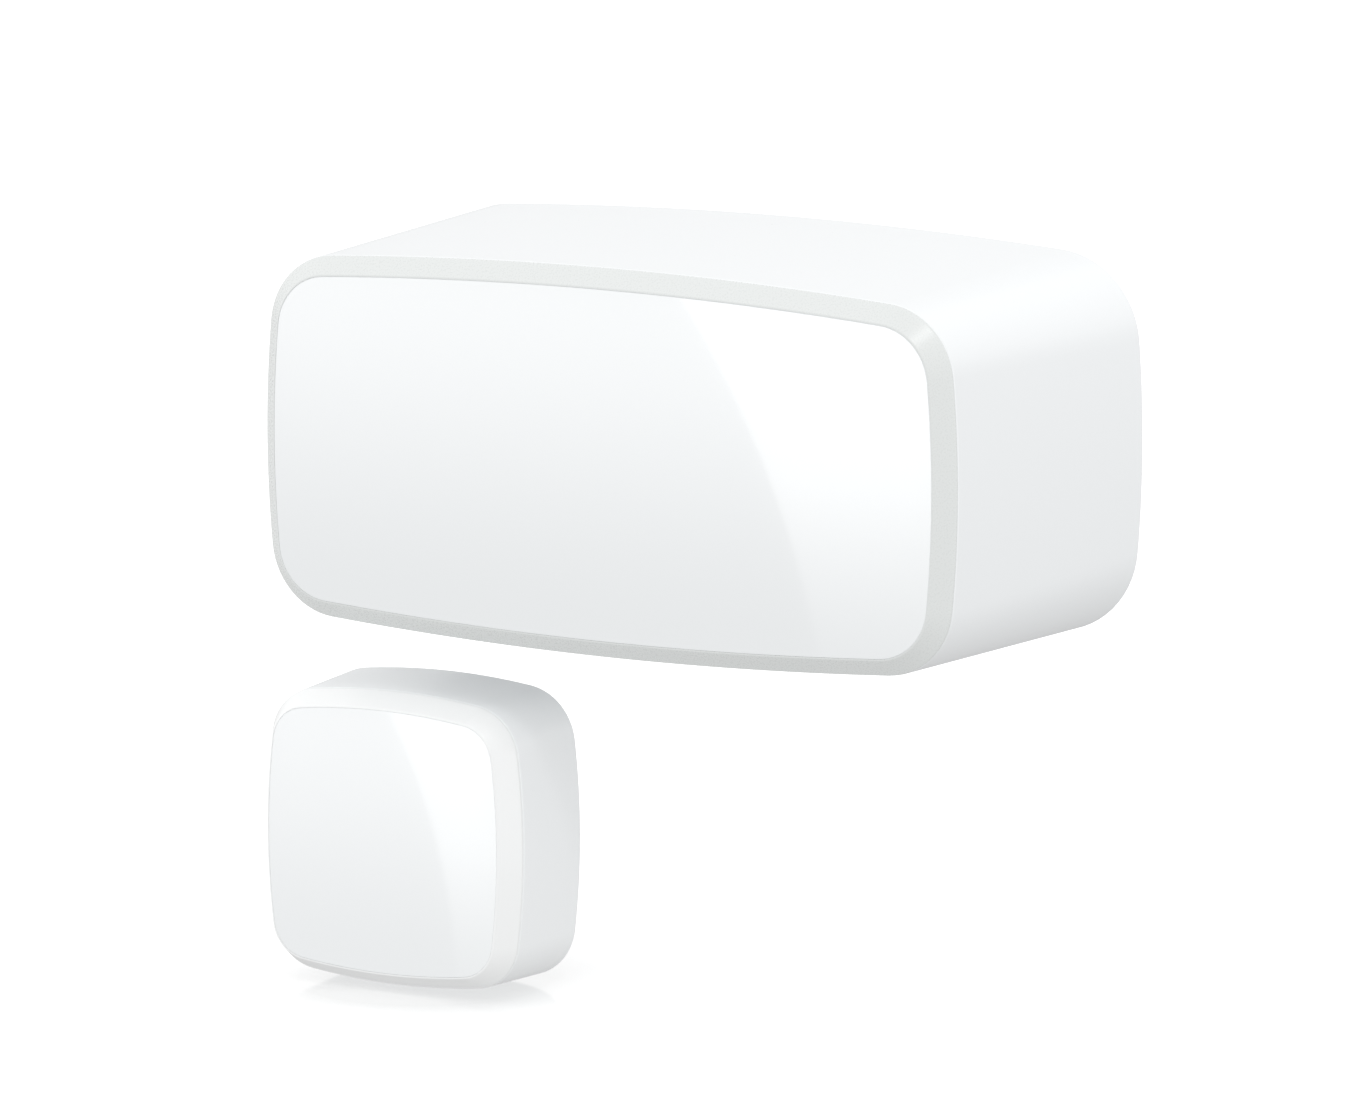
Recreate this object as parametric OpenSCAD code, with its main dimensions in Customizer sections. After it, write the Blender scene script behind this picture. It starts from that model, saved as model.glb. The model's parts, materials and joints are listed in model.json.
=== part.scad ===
// Two-piece door contact sensor: a deep sensor unit for the frame and a shallow magnet unit for the leaf.
// X runs along the sensor unit, Y runs into the wall and Z is up. All sizes are in millimetres.
// The origin is the middle of the sensor unit's adhesive face, which is the plane y = 0.

/* [Sensor unit] */
// Width of the sensor unit at its rear rim
sensor_w = 52; // [51:0.5:66]
// Height of the sensor unit at its rear rim
sensor_h = 25.6; // [25:0.2:32]
// Depth from the front panel to the rear rim
sensor_depth = 23.3; // [23.2:0.1:30]
// How much each short side leans out from front to rear
side_lean = 1.15; // [0.4:0.05:1.6]
// How much the long sides lean out from front to rear
top_lean = 0.55; // [0.2:0.05:1]
// Rise of the long sides' curve, from the corners to the middle
long_bulge = 1.1; // [0.4:0.1:2]
// Rise of the short sides' curve
short_bulge = 1.0; // [0.4:0.1:2]
// Corner radius at the front
corner_r = 4.8; // [4:0.1:6]
// Corner radius at the rear rim
rear_corner_r = 5.9; // [4.5:0.1:7]
// Width of the sloping bevel round the front panel
bevel_w = 1.1; // [0.6:0.05:1.6]
// Depth of that bevel
bevel_depth = 1.05; // [0.6:0.05:1.6]
// Side wall of the housing
wall = 1.5; // [1.1:0.1:1.8]
// Front wall of the housing
front_wall = 1.1; // [0.8:0.1:1.4]

/* [Front panels] */
// Glossy panel of the sensor unit, thickness
panel_t = 1.2; // [0.8:0.1:1.4]
// Glossy panel of the magnet unit, thickness
magnet_panel_t = 1.0; // [0.8:0.1:1.2]
// Adhesive film behind each panel
film_t = 0.15; // [0.1:0.05:0.2]
// Land between the bevel and the panel
land = 0.1; // [0.05:0.05:0.3]
// Gap round each panel in its bezel
panel_gap = 0.03; // [0.02:0.01:0.1]
// Width of the ledge that each panel is stuck to
ledge_w = 2.6; // [1.5:0.1:3.5]

/* [Magnet unit] */
// Width of the magnet unit at its rear rim
magnet_w = 19.5; // [18:0.5:24]
// Height of the magnet unit at its rear rim
magnet_h = 19.5; // [18:0.5:24]
// Depth from the front panel to the rear rim
magnet_depth = 8.3; // [8:0.1:12]
// How much each side leans out from front to rear
magnet_lean = 0.3; // [0.1:0.05:0.8]
// Rise of each side's curve
magnet_bulge = 0.95; // [0.4:0.05:1.4]
// Corner radius at the front
magnet_corner_r = 3.4; // [2.5:0.1:4.5]
// Width of the bevel round the front panel
magnet_bevel_w = 0.9; // [0.5:0.05:1.2]
// Depth of that bevel
magnet_bevel_depth = 1.5; // [0.8:0.05:1.6]
// Side wall of the magnet unit's housing
magnet_wall = 1.3; // [1:0.1:1.5]
// Magnet block, along X
block_w = 12; // [8:0.5:12.5]
// Magnet block, along Z
block_h = 10; // [6:0.5:12.5]

/* [Placing] */
// Gap between the two units' rear rims
unit_gap = 2.85; // [1:0.05:12]
// How far the magnet unit stands in from the sensor unit's left end
magnet_inset = 0.45; // [0:0.05:20]
// Thickness of both adhesive pads
pad_t = 1.0; // [0.7:0.1:1.5]
// Gap between a rear rim and the surface that its pad is stuck to
rim_gap = 0.6; // [0.2:0.1:0.6]

/* [Lithium cell] */
// Diameter of the cell over its sleeve
cell_d = 14.5; // [12:0.1:14.6]
// Length of the cell over its terminal
cell_l = 25; // [20:0.5:25.5]
// Thickness of the printed sleeve
sleeve_t = 0.15; // [0.1:0.05:0.3]
// Gap round the cell in its cradle
cell_gap = 0.15; // [0.1:0.05:0.3]

/* [Inside] */
// Circuit board thickness
board_t = 0.8; // [0.6:0.1:1]
// Height of the bosses that carry the board
boss_h = 1.5; // [1.4:0.1:2]
// Thickness of the cradle under the cell
cradle_floor = 0.7; // [0.5:0.1:1]
// Thickness of the cradle's walls
cradle_wall = 1.2; // [0.9:0.1:1.4]
// Thickness of the base plate
base_t = 1.6; // [1.2:0.1:1.8]
// Gap between the base plate and the housing
base_gap = 0.2; // [0.1:0.05:0.3]
// Travel of the reset button
button_travel = 0.25; // [0.2:0.05:0.5]
// Length of the reed switch's glass tube
reed_l = 10; // [8:0.5:10.5]
// Diameter of the reed switch's glass tube
reed_d = 1.8; // [1.6:0.1:2.2]

/* [Hidden] */
$fn = 48;
eps = 0.01;
side_steps = 4;
corner_steps = 10;
top_steps = 6;
min_corner_r = 0.3;

// Depths of the sensor unit, from the front panel back to the wall
y_rim = -rim_gap;
y_front = y_rim - sensor_depth;
y_bevel = y_front + bevel_depth;
parting = 0.1;
y_panel_back = y_front + panel_t;
y_film_back = y_panel_back + film_t;
bezel_floor = 0.65;
y_bezel_back = y_film_back + bezel_floor;
y_inside = y_bezel_back + front_wall;
y_board = y_inside + boss_h;
y_board_back = y_board + board_t;
y_cell_front = y_board_back + cradle_floor + cell_gap;
y_cell = y_cell_front + cell_d / 2;
y_base = -pad_t;
y_base_front = y_base - base_t;
bezel_spigot = 0.75;
spigot_gap = 0.05;

// Half sizes of the housing's outline at the bevel and at the rear rim
rear_a = sensor_w / 2;
rear_b = sensor_h / 2;
front_a = rear_a - side_lean;
front_b = rear_b - top_lean;
inner_a = front_a - wall;
inner_b = front_b - wall;

// Places along X inside the sensor unit
board_gap = 0.45;
cradle_right = inner_a - 0.9;
contact_t = 0.4;
dimple_h = 0.95;
spring_l = 2.5;
touch_gap = 0.05;
plate_right = cradle_right - cradle_wall;
cell_right = plate_right - contact_t - dimple_h - touch_gap;
cell_left = cell_right - cell_l;
plate_left = cell_left - spring_l - contact_t - 2 * touch_gap;
cradle_left = plate_left - cradle_wall;
cradle_b = cell_d / 2 + cell_gap + cradle_wall;
bay_mid = (cradle_left - inner_a) / 2;

// Screws that hold the cradle and the board to the housing's bosses: [x, z]
boss_r = 1.6;
screw_r = 0.8;
screw_hole_r = 1.0;
screw_head_r = 1.45;
screw_head_h = 1.0;
tab_t = 1.0;
screw_z = inner_b - boss_r - 0.75;
screw_places = [
    [-inner_a + boss_r + 1.55, screw_z - 1.2],
    [cell_right - 4, screw_z],
    [cell_right - 4, -screw_z],
];

// Reset switch, reed switch and lamp places on the board: [x, z]
switch_place = [bay_mid, 0.8];
switch_body = 4.5;
switch_h = 3.0;
button_r = 1.2;
y_button_top = y_board_back + 9;
reed_place = [bay_mid + 0.5, -inner_b + 3.5];
y_reed = y_board_back + reed_d / 2 + 0.4;
lamp_place = [cradle_left - 1.9, -3.4];

// Magnet unit: depths and middle
y_magnet_rim = y_front + magnet_depth;
y_magnet_mount = y_magnet_rim + rim_gap;
y_magnet_bevel = y_front + magnet_bevel_depth;
y_magnet_film = y_front + magnet_panel_t;
magnet_bezel_floor = 0.55;
y_magnet_bezel_back = y_magnet_film + film_t + magnet_bezel_floor;
magnet_front_wall = 1.0;
y_magnet_inside = y_magnet_bezel_back + magnet_front_wall;
magnet_base_t = 1.2;
y_magnet_base = y_magnet_mount - pad_t;
y_magnet_base_front = y_magnet_base - magnet_base_t;
cushion_t = 0.5;
block_gap = 0.1;
magnet_spigot = 0.6;
magnet_a = magnet_w / 2;
magnet_b = magnet_h / 2;
magnet_x = -rear_a + magnet_inset + magnet_a;
magnet_z = -rear_b - unit_gap - magnet_b;

// ---------- Outlines ----------

function mix(from, to, share) = from + (to - from) * share;

function arc(centre, r, from, to, steps) = [
    for (i = [0 : steps - 1])
        let (t = mix(from, to, i / steps))
            centre + r * [cos(t), sin(t)]
];

// Middle of the corner circle that touches the side's and the top's large circles from within
function corner_centre(side_c, side_r, top_c, top_r, r) =
    let (
        d = side_c - top_c,
        l = norm(d),
        rt = top_r - r,
        rs = side_r - r,
        k = (rt * rt - rs * rs + l * l) / (2 * l),
        h = sqrt(rt * rt - k * k),
        foot = top_c + k * d / l,
        n = [-d[1], d[0]] / l,
        p = foot + h * n,
        q = foot - h * n
    )
    p[0] + p[1] > q[0] + q[1] ? p : q;

// A quarter of the outline grown by grow, from the middle of the right side to the middle of the top
function quarter(a, b, side_bulge, top_bulge, corner, grow) =
    let (
        r = max(corner, min_corner_r - grow),
        side_r = (b * b + side_bulge * side_bulge) / (2 * side_bulge),
        top_r = (a * a + top_bulge * top_bulge) / (2 * top_bulge),
        side_c = [a - side_r, 0],
        top_c = [0, b - top_r],
        c = corner_centre(side_c, side_r, top_c, top_r, r),
        from_side = c - side_c,
        from_top = c - top_c,
        low = atan2(from_side[1], from_side[0]),
        high = atan2(from_top[1], from_top[0])
    )
    concat(
        arc(side_c, side_r + grow, 0, low, side_steps),
        arc(c, r + grow, low, high, corner_steps),
        arc(top_c, top_r + grow, high, 90, top_steps),
        [[0, b + grow]]
    );

// Closed rectangle with curved sides and round corners, anticlockwise as seen from the front
function outline(a, b, side_bulge, top_bulge, corner, grow) =
    let (q = quarter(a, b, side_bulge, top_bulge, corner, grow), n = len(q) - 1)
    concat(
        [for (i = [0 : n - 1]) q[i]],
        [for (i = [n : -1 : 1]) [-q[i][0], q[i][1]]],
        [for (i = [0 : n - 1]) -q[i]],
        [for (i = [n : -1 : 1]) [q[i][0], -q[i][1]]]
    );

// The sensor unit's outline at depth y, grown by grow
function sensor_outline(y, grow = 0) =
    let (t = (y - y_bevel) / (y_rim - y_bevel))
    outline(
        mix(front_a, rear_a, t),
        mix(front_b, rear_b, t),
        short_bulge,
        long_bulge,
        mix(corner_r, rear_corner_r, t),
        grow
    );

// The magnet unit's outline about its own middle, at depth y, grown by grow
function magnet_outline(y, grow = 0) =
    let (
        t = (y - y_magnet_bevel) / (y_magnet_rim - y_magnet_bevel),
        lean = magnet_lean * (t - 1)
    )
    outline(
        magnet_a + lean,
        magnet_b + lean,
        magnet_bulge,
        magnet_bulge,
        magnet_corner_r + magnet_lean + lean,
        grow
    );

function ring(points, y) = [for (p = points) [p[0], y, p[1]]];

// ---------- Shapes that repeat ----------

// Solid skin over a list of rings that have the same number of points, front ring first
module loft(rings) {
    n = len(rings[0]);
    last = (len(rings) - 1) * n;
    polyhedron(
        points = [for (r = rings) each r],
        faces = concat(
            [[for (i = [n - 1 : -1 : 0]) i]],
            [[for (i = [0 : n - 1]) last + i]],
            [
                for (k = [0 : len(rings) - 2], i = [0 : n - 1])
                    let (p = k * n + i, q = k * n + (i + 1) % n)
                        each [[p, q, q + n], [p, q + n, p + n]]
            ]
        )
    );
}

// Straight prism of an outline between two depths
module slab(points, front, rear) {
    translate([0, rear, 0])
        rotate([90, 0, 0])
            linear_extrude(rear - front)
                polygon(points);
}

// Box from its middle in x and z, its size in x and z, and its two depths
module block(place, size, front, rear) {
    translate([place[0] - size[0] / 2, front, place[1] - size[1] / 2])
        cube([size[0], rear - front, size[1]]);
}

// Cylinder along Y between two depths
module peg(place, r, front, rear) {
    translate([place[0], rear, place[1]])
        rotate([90, 0, 0])
            cylinder(r = r, h = rear - front);
}

// Cylinder along X between two places
module rod(r, from, to, y, z) {
    translate([from, y, z])
        rotate([0, 90, 0])
            cylinder(r = r, h = to - from);
}

// Flat ring of film or foam between two offsets of an outline
module frame_slab(outer, inner, front, rear) {
    difference() {
        slab(outer, front, rear);
        slab(inner, front - eps, rear + eps);
    }
}

// ---------- Sensor unit, outside ----------

edge_r = 0.2;
rim_r = 0.3;

module housing() {
    pocket_gap = bezel_spigot - spigot_gap;
    y_edge = y_bevel + parting;
    edge_steps = 3;
    color("white")
        difference() {
            loft(concat(
                [
                    for (i = [0 : edge_steps])
                        let (t = 90 * i / edge_steps, y = y_edge + edge_r * (1 - cos(t)))
                            ring(sensor_outline(y, -edge_r * (1 - sin(t))), y)
                ],
                [
                    for (i = [0 : edge_steps])
                        let (t = 90 * i / edge_steps, y = y_rim - rim_r * (1 - sin(t)))
                            ring(sensor_outline(y, -rim_r * (1 - cos(t))), y)
                ]
            ));
            difference() {
                loft([
                    ring(sensor_outline(y_inside, -wall), y_inside),
                    ring(sensor_outline(y_rim + 1, -wall), y_rim + 1),
                ]);
                for (p = screw_places)
                    peg(p, boss_r, y_inside - 1, y_board);
            }
            slab(sensor_outline(y_bevel, -pocket_gap), y_front, y_bezel_back);
            for (p = screw_places)
                peg(p, screw_r + 0.05, y_inside - 0.6, y_board + eps);
            retention_grooves();
            pry_notch();
        }
}

// Shallow grooves in the housing that the base plate's ribs click into
module retention_grooves() {
    for (s = [-1, 1]) {
        translate([-post_w / 2 - 0.5, y_rib, s * (wall_in_b(y_rib) - 0.05)])
            rotate([0, 90, 0])
                cylinder(r = rib_r + 0.1, h = post_w + 1);
        translate([s * (wall_in_a(y_rib) - 0.05), y_rib, -post_w / 2 - 0.5])
            cylinder(r = rib_r + 0.1, h = post_w + 1);
    }
}

// Slot in the lower rear rim for a coin or a screwdriver
module pry_notch() {
    notch_w = 7;
    notch_h = 1.0;
    notch_depth = 0.8;
    translate([-notch_w / 2, y_rim - notch_depth, -rear_b - 1])
        cube([notch_w, notch_depth + 1, 1 + notch_h]);
}

module front_bezel() {
    color([0.86, 0.88, 0.87])
        difference() {
            union() {
                loft([
                    ring(sensor_outline(y_bevel, -bevel_w), y_front),
                    ring(sensor_outline(y_bevel, 0), y_bevel),
                    ring(sensor_outline(y_bevel, -0.02), y_bevel + parting),
                ]);
                slab(sensor_outline(y_bevel, -bezel_spigot), y_bevel, y_bezel_back);
            }
            slab(sensor_outline(y_bevel, -bevel_w - land), y_front - 1, y_film_back);
            slab(sensor_outline(y_bevel, -bevel_w - land - ledge_w), y_front - 1, y_bezel_back + 1);
        }
}

module front_panel() {
    chamfer = 0.12;
    gap = bevel_w + land + panel_gap;
    color("white")
        loft([
            ring(sensor_outline(y_bevel, -gap - chamfer), y_front),
            ring(sensor_outline(y_bevel, -gap), y_front + chamfer),
            ring(sensor_outline(y_bevel, -gap), y_panel_back),
        ]);
}

module panel_adhesive() {
    gap = bevel_w + land;
    color([0.2, 0.2, 0.22])
        frame_slab(
            sensor_outline(y_bevel, -gap - 0.2),
            sensor_outline(y_bevel, -gap - ledge_w),
            y_panel_back,
            y_film_back
        );
}

// ---------- Base plate ----------

post_w = 5;
post_t = 1.0;
post_h = 4.2;
rib_r = 0.3;
y_rib = y_base_front - post_h + 0.9;

// Half width and half height of the housing's inside at depth y
function wall_in_a(y) = mix(front_a, rear_a, (y - y_bevel) / (y_rim - y_bevel)) - wall;
function wall_in_b(y) = mix(front_b, rear_b, (y - y_bevel) / (y_rim - y_bevel)) - wall;

module base_plate() {
    y_post = y_base_front - post_h;
    reach = wall_in_a(y_post) - base_gap;
    rise = wall_in_b(y_post) - base_gap;
    color("whitesmoke")
        union() {
            slab(sensor_outline(y_base_front, -wall - base_gap), y_base_front, y_base);
            intersection() {
                slab(sensor_outline(y_post, -wall - base_gap), y_post, y_base_front + eps);
                union() {
                    for (s = [-1, 1]) {
                        block([s * (reach - post_t / 2), 0], [post_t, post_w], y_post, y_base);
                        block([0, s * (rise - post_t / 2)], [post_w, post_t], y_post, y_base);
                    }
                }
            }
            retention_ribs(reach, rise);
            stiffeners();
        }
}

// Low ribs on the posts, 0.05 mm short of the housing's wall
module retention_ribs(reach, rise) {
    proud = base_gap - 0.07;
    l = post_w - 2.4;
    for (s = [-1, 1]) {
        translate([-l / 2, y_rib, s * (rise - rib_r + proud)])
            rotate([0, 90, 0])
                cylinder(r = rib_r, h = l);
        translate([s * (reach - rib_r + proud), y_rib, -l / 2])
            cylinder(r = rib_r, h = l);
    }
}

// Two low stiffening ribs along the base plate, clear of the cell
module stiffeners() {
    rib_h = 0.9;
    for (s = [-1, 1])
        block([0, s * (cell_d / 2 + 0.9)], [2 * inner_a - 9, 0.8], y_base_front - rib_h, y_base_front + eps);
}

module sensor_adhesive_pad() {
    inset = 2.6;
    color([0.85, 0.87, 0.88])
        slab(sensor_outline(y_rim, -inset), y_base, 0);
}

// ---------- Cradle, board and screws ----------

module cell_cradle() {
    y_wall = y_cell + 3.6;
    y_end = y_cell + 4.6;
    color([0.93, 0.93, 0.92])
        difference() {
            intersection() {
                cradle_blank(y_wall, y_end);
                slab(sensor_outline(y_board, -wall - board_gap), y_board_back, y_end + 1);
            }
            rod(cell_d / 2 + cell_gap, plate_left, plate_right, y_cell, 0);
            block(
                [(plate_left + plate_right) / 2, 0],
                [plate_right - plate_left, cell_d + 2 * cell_gap],
                y_cell,
                y_end + 1
            );
            for (p = screw_places)
                peg(p, screw_hole_r, y_board_back - 1, y_board_back + tab_t + 1);
            for (i = [1, 2])
                peg(screw_places[i], screw_head_r + 0.3, y_board_back + tab_t, y_end + 1);
            finger_notches(y_end);
            contact_slots();
        }
}

// The cradle's walls, floor and screw tabs before anything is cut out of them
module cradle_blank(y_wall, y_end) {
    strip_low = screw_places[0][1] - screw_head_r - 1.3;
    block(
        [(cradle_left + cradle_right) / 2, 0],
        [cradle_right - cradle_left, 2 * cradle_b],
        y_board_back,
        y_wall
    );
    for (x = [cradle_left, cradle_right - cradle_wall])
        translate([x, y_board_back, -cradle_b])
            cube([cradle_wall, y_end - y_board_back, 2 * cradle_b]);
    translate([-inner_a, y_board_back, strip_low])
        cube([inner_a + cradle_left + eps, tab_t, inner_b - strip_low]);
    for (i = [1, 2])
        peg(screw_places[i], boss_r + 0.5, y_board_back, y_board_back + tab_t);
}

// Gaps in the long walls, for a finger and thumb to lift the cell out
module finger_notches(y_end) {
    notch_w = 9;
    translate([(cell_left + cell_right) / 2 - notch_w / 2, y_cell - 1.5, -cradle_b - 1])
        cube([notch_w, y_end - y_cell + 3, 2 * cradle_b + 2]);
}

// Slots in the cradle's floor that the contacts' legs pass through
module contact_slots() {
    w = contact_leg_w + 0.3;
    for (x = [plate_left, plate_right - contact_t - 0.1])
        translate([x, y_board_back - eps, -w / 2])
            cube([contact_t + 0.1, y_cell - y_board_back, w]);
}

module circuit_board() {
    color("darkgreen")
        difference() {
            slab(sensor_outline(y_board, -wall - board_gap), y_board, y_board_back);
            for (p = screw_places)
                peg(p, screw_hole_r, y_board - 1, y_board_back + 1);
        }
}

module housing_screws() {
    y_seat = y_board_back + tab_t;
    color("silver")
        for (p = screw_places)
            difference() {
                union() {
                    peg(p, screw_r, y_inside - 0.4, y_seat + eps);
                    peg(p, screw_head_r, y_seat, y_seat + screw_head_h);
                }
                cross_recess(p, y_seat + screw_head_h);
            }
}

// Cross recess for a driver, sunk from depth y
module cross_recess(place, y) {
    l = 1.7;
    t = 0.4;
    sink = 0.55;
    block(place, [l, t], y - sink, y + 1);
    block(place, [t, l], y - sink, y + 1);
}

// ---------- Parts on the board's front face ----------

// Their places along X are counted from the negative contact
shield_size = [9, 7.4];
shield_place = [plate_left + 14.7, 1.0];
shield_h = 1.25;
shield_t = 0.2;

module radio_shield() {
    color("silver")
        difference() {
            block(shield_place, shield_size, y_board - shield_h, y_board);
            block(
                shield_place,
                shield_size - 2 * [shield_t, shield_t],
                y_board - shield_h + shield_t,
                y_board + 1
            );
        }
}

chip_place = [plate_left + 4.8, 2.6];
chip_w = 5;
chip_h = 0.85;

module microcontroller() {
    color([0.12, 0.12, 0.13])
        difference() {
            block(chip_place, [chip_w, chip_w], y_board - chip_h, y_board);
            peg(chip_place + [-0.36, 0.36] * chip_w, 0.3, y_board - 1, y_board - chip_h + 0.1);
        }
}

module crystal() {
    place = [chip_place[0], -2.4];
    lip = 0.25;
    size = [3.2, 2.5];
    color("lightgray")
        union() {
            block(place, size, y_board - 0.5, y_board);
            block(place, size - 2 * [lip, lip], y_board - 0.75, y_board - 0.5 + eps);
        }
}

module chip_antenna() {
    place = [inner_a - 2.3, -4.6];
    color([0.75, 0.9, 0.95])
        block(place, [1.6, 5.2], y_board - 1.1, y_board);
}

// ---------- Parts on the board's rear face ----------

module status_led() {
    color([0.95, 0.95, 0.85])
        union() {
            block(lamp_place, [1.6, 0.8], y_board_back, y_board_back + 0.35);
            block(lamp_place, [1.0, 0.8], y_board_back + 0.35 - eps, y_board_back + 0.65);
        }
}

module bulk_capacitor() {
    color([0.85, 0.6, 0.15])
        block([-inner_a + 2.6, 1.6], [1.6, 3.4], y_board_back, y_board_back + 1.6);
}

// Chip parts on the board's front face, counted from the negative contact: [x, z], all lying along X
capacitor_places = [[-3.4, 4.6], [-3.4, 3], [-3.4, 1.4], [-0.2, 4.6], [-0.2, 3], [8, -3], [21.6, 3.6], [21.6, 2]];
resistor_places = [[-3.4, -1.6], [-3.4, -3.2], [0.2, -3.2], [-7.4, -1.6], [-7.4, -3.2], [21.6, -1.4]];
chip_size = [1.6, 0.8];
cap_l = 0.35;

module chip(place, h) {
    block(place, [chip_size[0] - 2 * cap_l, chip_size[1] - 0.06], y_board - h + 0.03, y_board);
    for (s = [-1, 1])
        block(
            [place[0] + s * (chip_size[0] - cap_l) / 2, place[1]],
            [cap_l, chip_size[1]],
            y_board - h,
            y_board
        );
}

module smd_capacitors() {
    color([0.72, 0.6, 0.45])
        for (p = capacitor_places)
            chip([plate_left + p[0], p[1]], 0.8);
}

module smd_resistors() {
    color([0.15, 0.15, 0.16])
        for (p = resistor_places)
            chip([plate_left + p[0], p[1]], 0.45);
}

// Round programming pads in a row, on the board's rear face in the open bay
module test_pads() {
    color("gold")
        for (i = [0 : 4])
            peg([cradle_left - 1.4 - 1.5 * i, -5.4], 0.5, y_board_back, y_board_back + 0.05);
}

// ---------- Reset button ----------

module tact_switch_body() {
    y_top = y_board_back + switch_h;
    color([0.2, 0.2, 0.22])
        difference() {
            union() {
                block(switch_place, [switch_body, switch_body], y_board_back, y_top - 0.3);
                block(switch_place, [switch_body - 0.3, switch_body - 0.3], y_top - 0.31, y_top);
                for (s = [-1, 1], t = [-1, 1])
                    block(
                        switch_place + [s * (switch_body / 2 + 0.35), t * 1.4],
                        [0.8, 0.7],
                        y_board_back,
                        y_board_back + 0.2
                    );
            }
            peg(switch_place, button_r + 0.08, y_board_back + 1.2, y_top + 1);
        }
}

module reset_button() {
    y_foot = y_board_back + 1.25 + button_travel;
    cap_l = 2.2;
    color([0.25, 0.25, 0.28])
        union() {
            peg(switch_place, button_r, y_foot, y_button_top);
            peg(switch_place, button_r + 0.5, y_button_top - cap_l, y_button_top);
        }
}

// ---------- Reed switch ----------

reed_wall = 0.25;
blade_t = 0.2;
blade_w = 1.0;
blade_gap = 0.03;
blade_lap = 0.6;
lead_r = 0.3;
seal_l = 1.2;
reed_left = reed_place[0] - reed_l / 2;
reed_right = reed_place[0] + reed_l / 2;
lead_out = 0.8;

module reed_glass() {
    r = reed_d / 2;
    color([0.55, 0.8, 0.6, 0.5])
        difference() {
            union() {
                rod(r, reed_left + 0.5, reed_right - 0.5, y_reed, reed_place[1]);
                translate([reed_left + 0.5, y_reed, reed_place[1]])
                    rotate([0, -90, 0])
                        cylinder(r1 = r, r2 = r - 0.35, h = 0.5);
                translate([reed_right - 0.5, y_reed, reed_place[1]])
                    rotate([0, 90, 0])
                        cylinder(r1 = r, r2 = r - 0.35, h = 0.5);
            }
            rod(r - reed_wall, reed_left + seal_l, reed_right - seal_l, y_reed, reed_place[1]);
            rod(lead_r, reed_left - 1, reed_left + seal_l + eps, y_reed, reed_place[1]);
            rod(lead_r, reed_right - seal_l - eps, reed_right + 1, y_reed, reed_place[1]);
        }
}

// Round leads, sealed in the glass and bent down to the board
module reed_leads() {
    color("silver")
        for (s = [-1, 1])
            translate([reed_place[0], 0, 0])
                scale([s, 1, 1])
                    union() {
                        rod(lead_r, reed_l / 2 - seal_l, reed_l / 2 + lead_out, y_reed, reed_place[1]);
                        peg(
                            [reed_l / 2 + lead_out, reed_place[1]],
                            lead_r,
                            y_board_back,
                            y_reed
                        );
                        translate([reed_l / 2 + lead_out, y_reed, reed_place[1]])
                            sphere(r = lead_r);
                    }
}

// Blade between two places, on one side of the tube's axis
module blade(from, to, side) {
    y0 = side > 0 ? y_reed + blade_gap / 2 : y_reed - blade_gap / 2 - blade_t;
    translate([from, y0, reed_place[1] - blade_w / 2])
        cube([to - from, blade_t, blade_w]);
}

module reed_fixed_blade() {
    color([0.8, 0.78, 0.7])
        blade(reed_place[0] - blade_lap, reed_right - seal_l, 1);
}

module reed_moving_blade() {
    color([0.8, 0.78, 0.7])
        blade(reed_left + seal_l + 0.05, reed_place[0] + blade_lap, -1);
}

// ---------- Contacts ----------

contact_w = 8;
contact_h = 8.6;
contact_leg_w = 3;

// Sheet-metal plate with a leg down to the board, its near face at x
module contact_plate(x) {
    y_mid = y_cell + 0.4;
    translate([x, y_mid - contact_h / 2, -contact_w / 2])
        cube([contact_t, contact_h, contact_w]);
    translate([x, y_board_back, -contact_leg_w / 2])
        cube([contact_t, y_mid - y_board_back, contact_leg_w]);
}

module positive_contact() {
    color("gold")
        union() {
            contact_plate(plate_right - contact_t);
            translate([plate_right - contact_t + eps, y_cell, 0])
                rotate([0, -90, 0])
                    cylinder(r1 = 2.2, r2 = 1.2, h = dimple_h + eps);
        }
}

module negative_contact() {
    color("gold")
        contact_plate(plate_left);
}

spring_wire_r = 0.25;
spring_turns = 3.5;
spring_steps = 20;
spring_r_wide = 3.6;
spring_r_narrow = 1.7;

// Middle of the spring's wire at a share of its length, coiling in as it goes
function spring_point(share) =
    let (
        r = mix(spring_r_wide, spring_r_narrow, share),
        turn = 360 * spring_turns * share,
        from = plate_left + contact_t + spring_wire_r + touch_gap / 2,
        to = cell_left - spring_wire_r - touch_gap
    )
    [mix(from, to, share), y_cell + r * cos(turn), r * sin(turn)];

module negative_spring() {
    sides = 8;
    count = spring_turns * spring_steps;
    rings = [
        for (i = [0 : count])
            let (
                p = spring_point(i / count),
                out = unit([0, p[1] - y_cell, p[2]])
            )
                [
                    for (k = [0 : sides - 1])
                        let (t = 360 * k / sides)
                            p + spring_wire_r * (cos(t) * out + sin(t) * [1, 0, 0])
                ]
    ];
    color("silver")
        loft(rings);
}

function unit(v) = v / norm(v);

// Solder fillets at the feet of the contacts' legs and the reed's leads, on the board's front face
module contact_solder() {
    color([0.8, 0.81, 0.83])
        for (p = solder_places)
            translate([p[0], y_board, p[1]])
                rotate([90, 0, 0])
                    cylinder(r1 = 0.9, r2 = 0.35, h = 0.5);
}

solder_places = [
    [plate_left + contact_t / 2, 0],
    [plate_right - contact_t / 2, 0],
    [reed_left - lead_out, reed_place[1]],
    [reed_right + lead_out, reed_place[1]],
];

// ---------- Lithium cell ----------

can_r = cell_d / 2 - sleeve_t;
can_t = 0.35;
terminal_h = 1.0;
terminal_r = 2.1;
pin_r = 1.4;
seal_r = 3.4;
cover_t = 0.7;
cover_sink = 0.15;
can_right = cell_right - terminal_h;
cover_left = can_right - cover_sink - cover_t;

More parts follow.
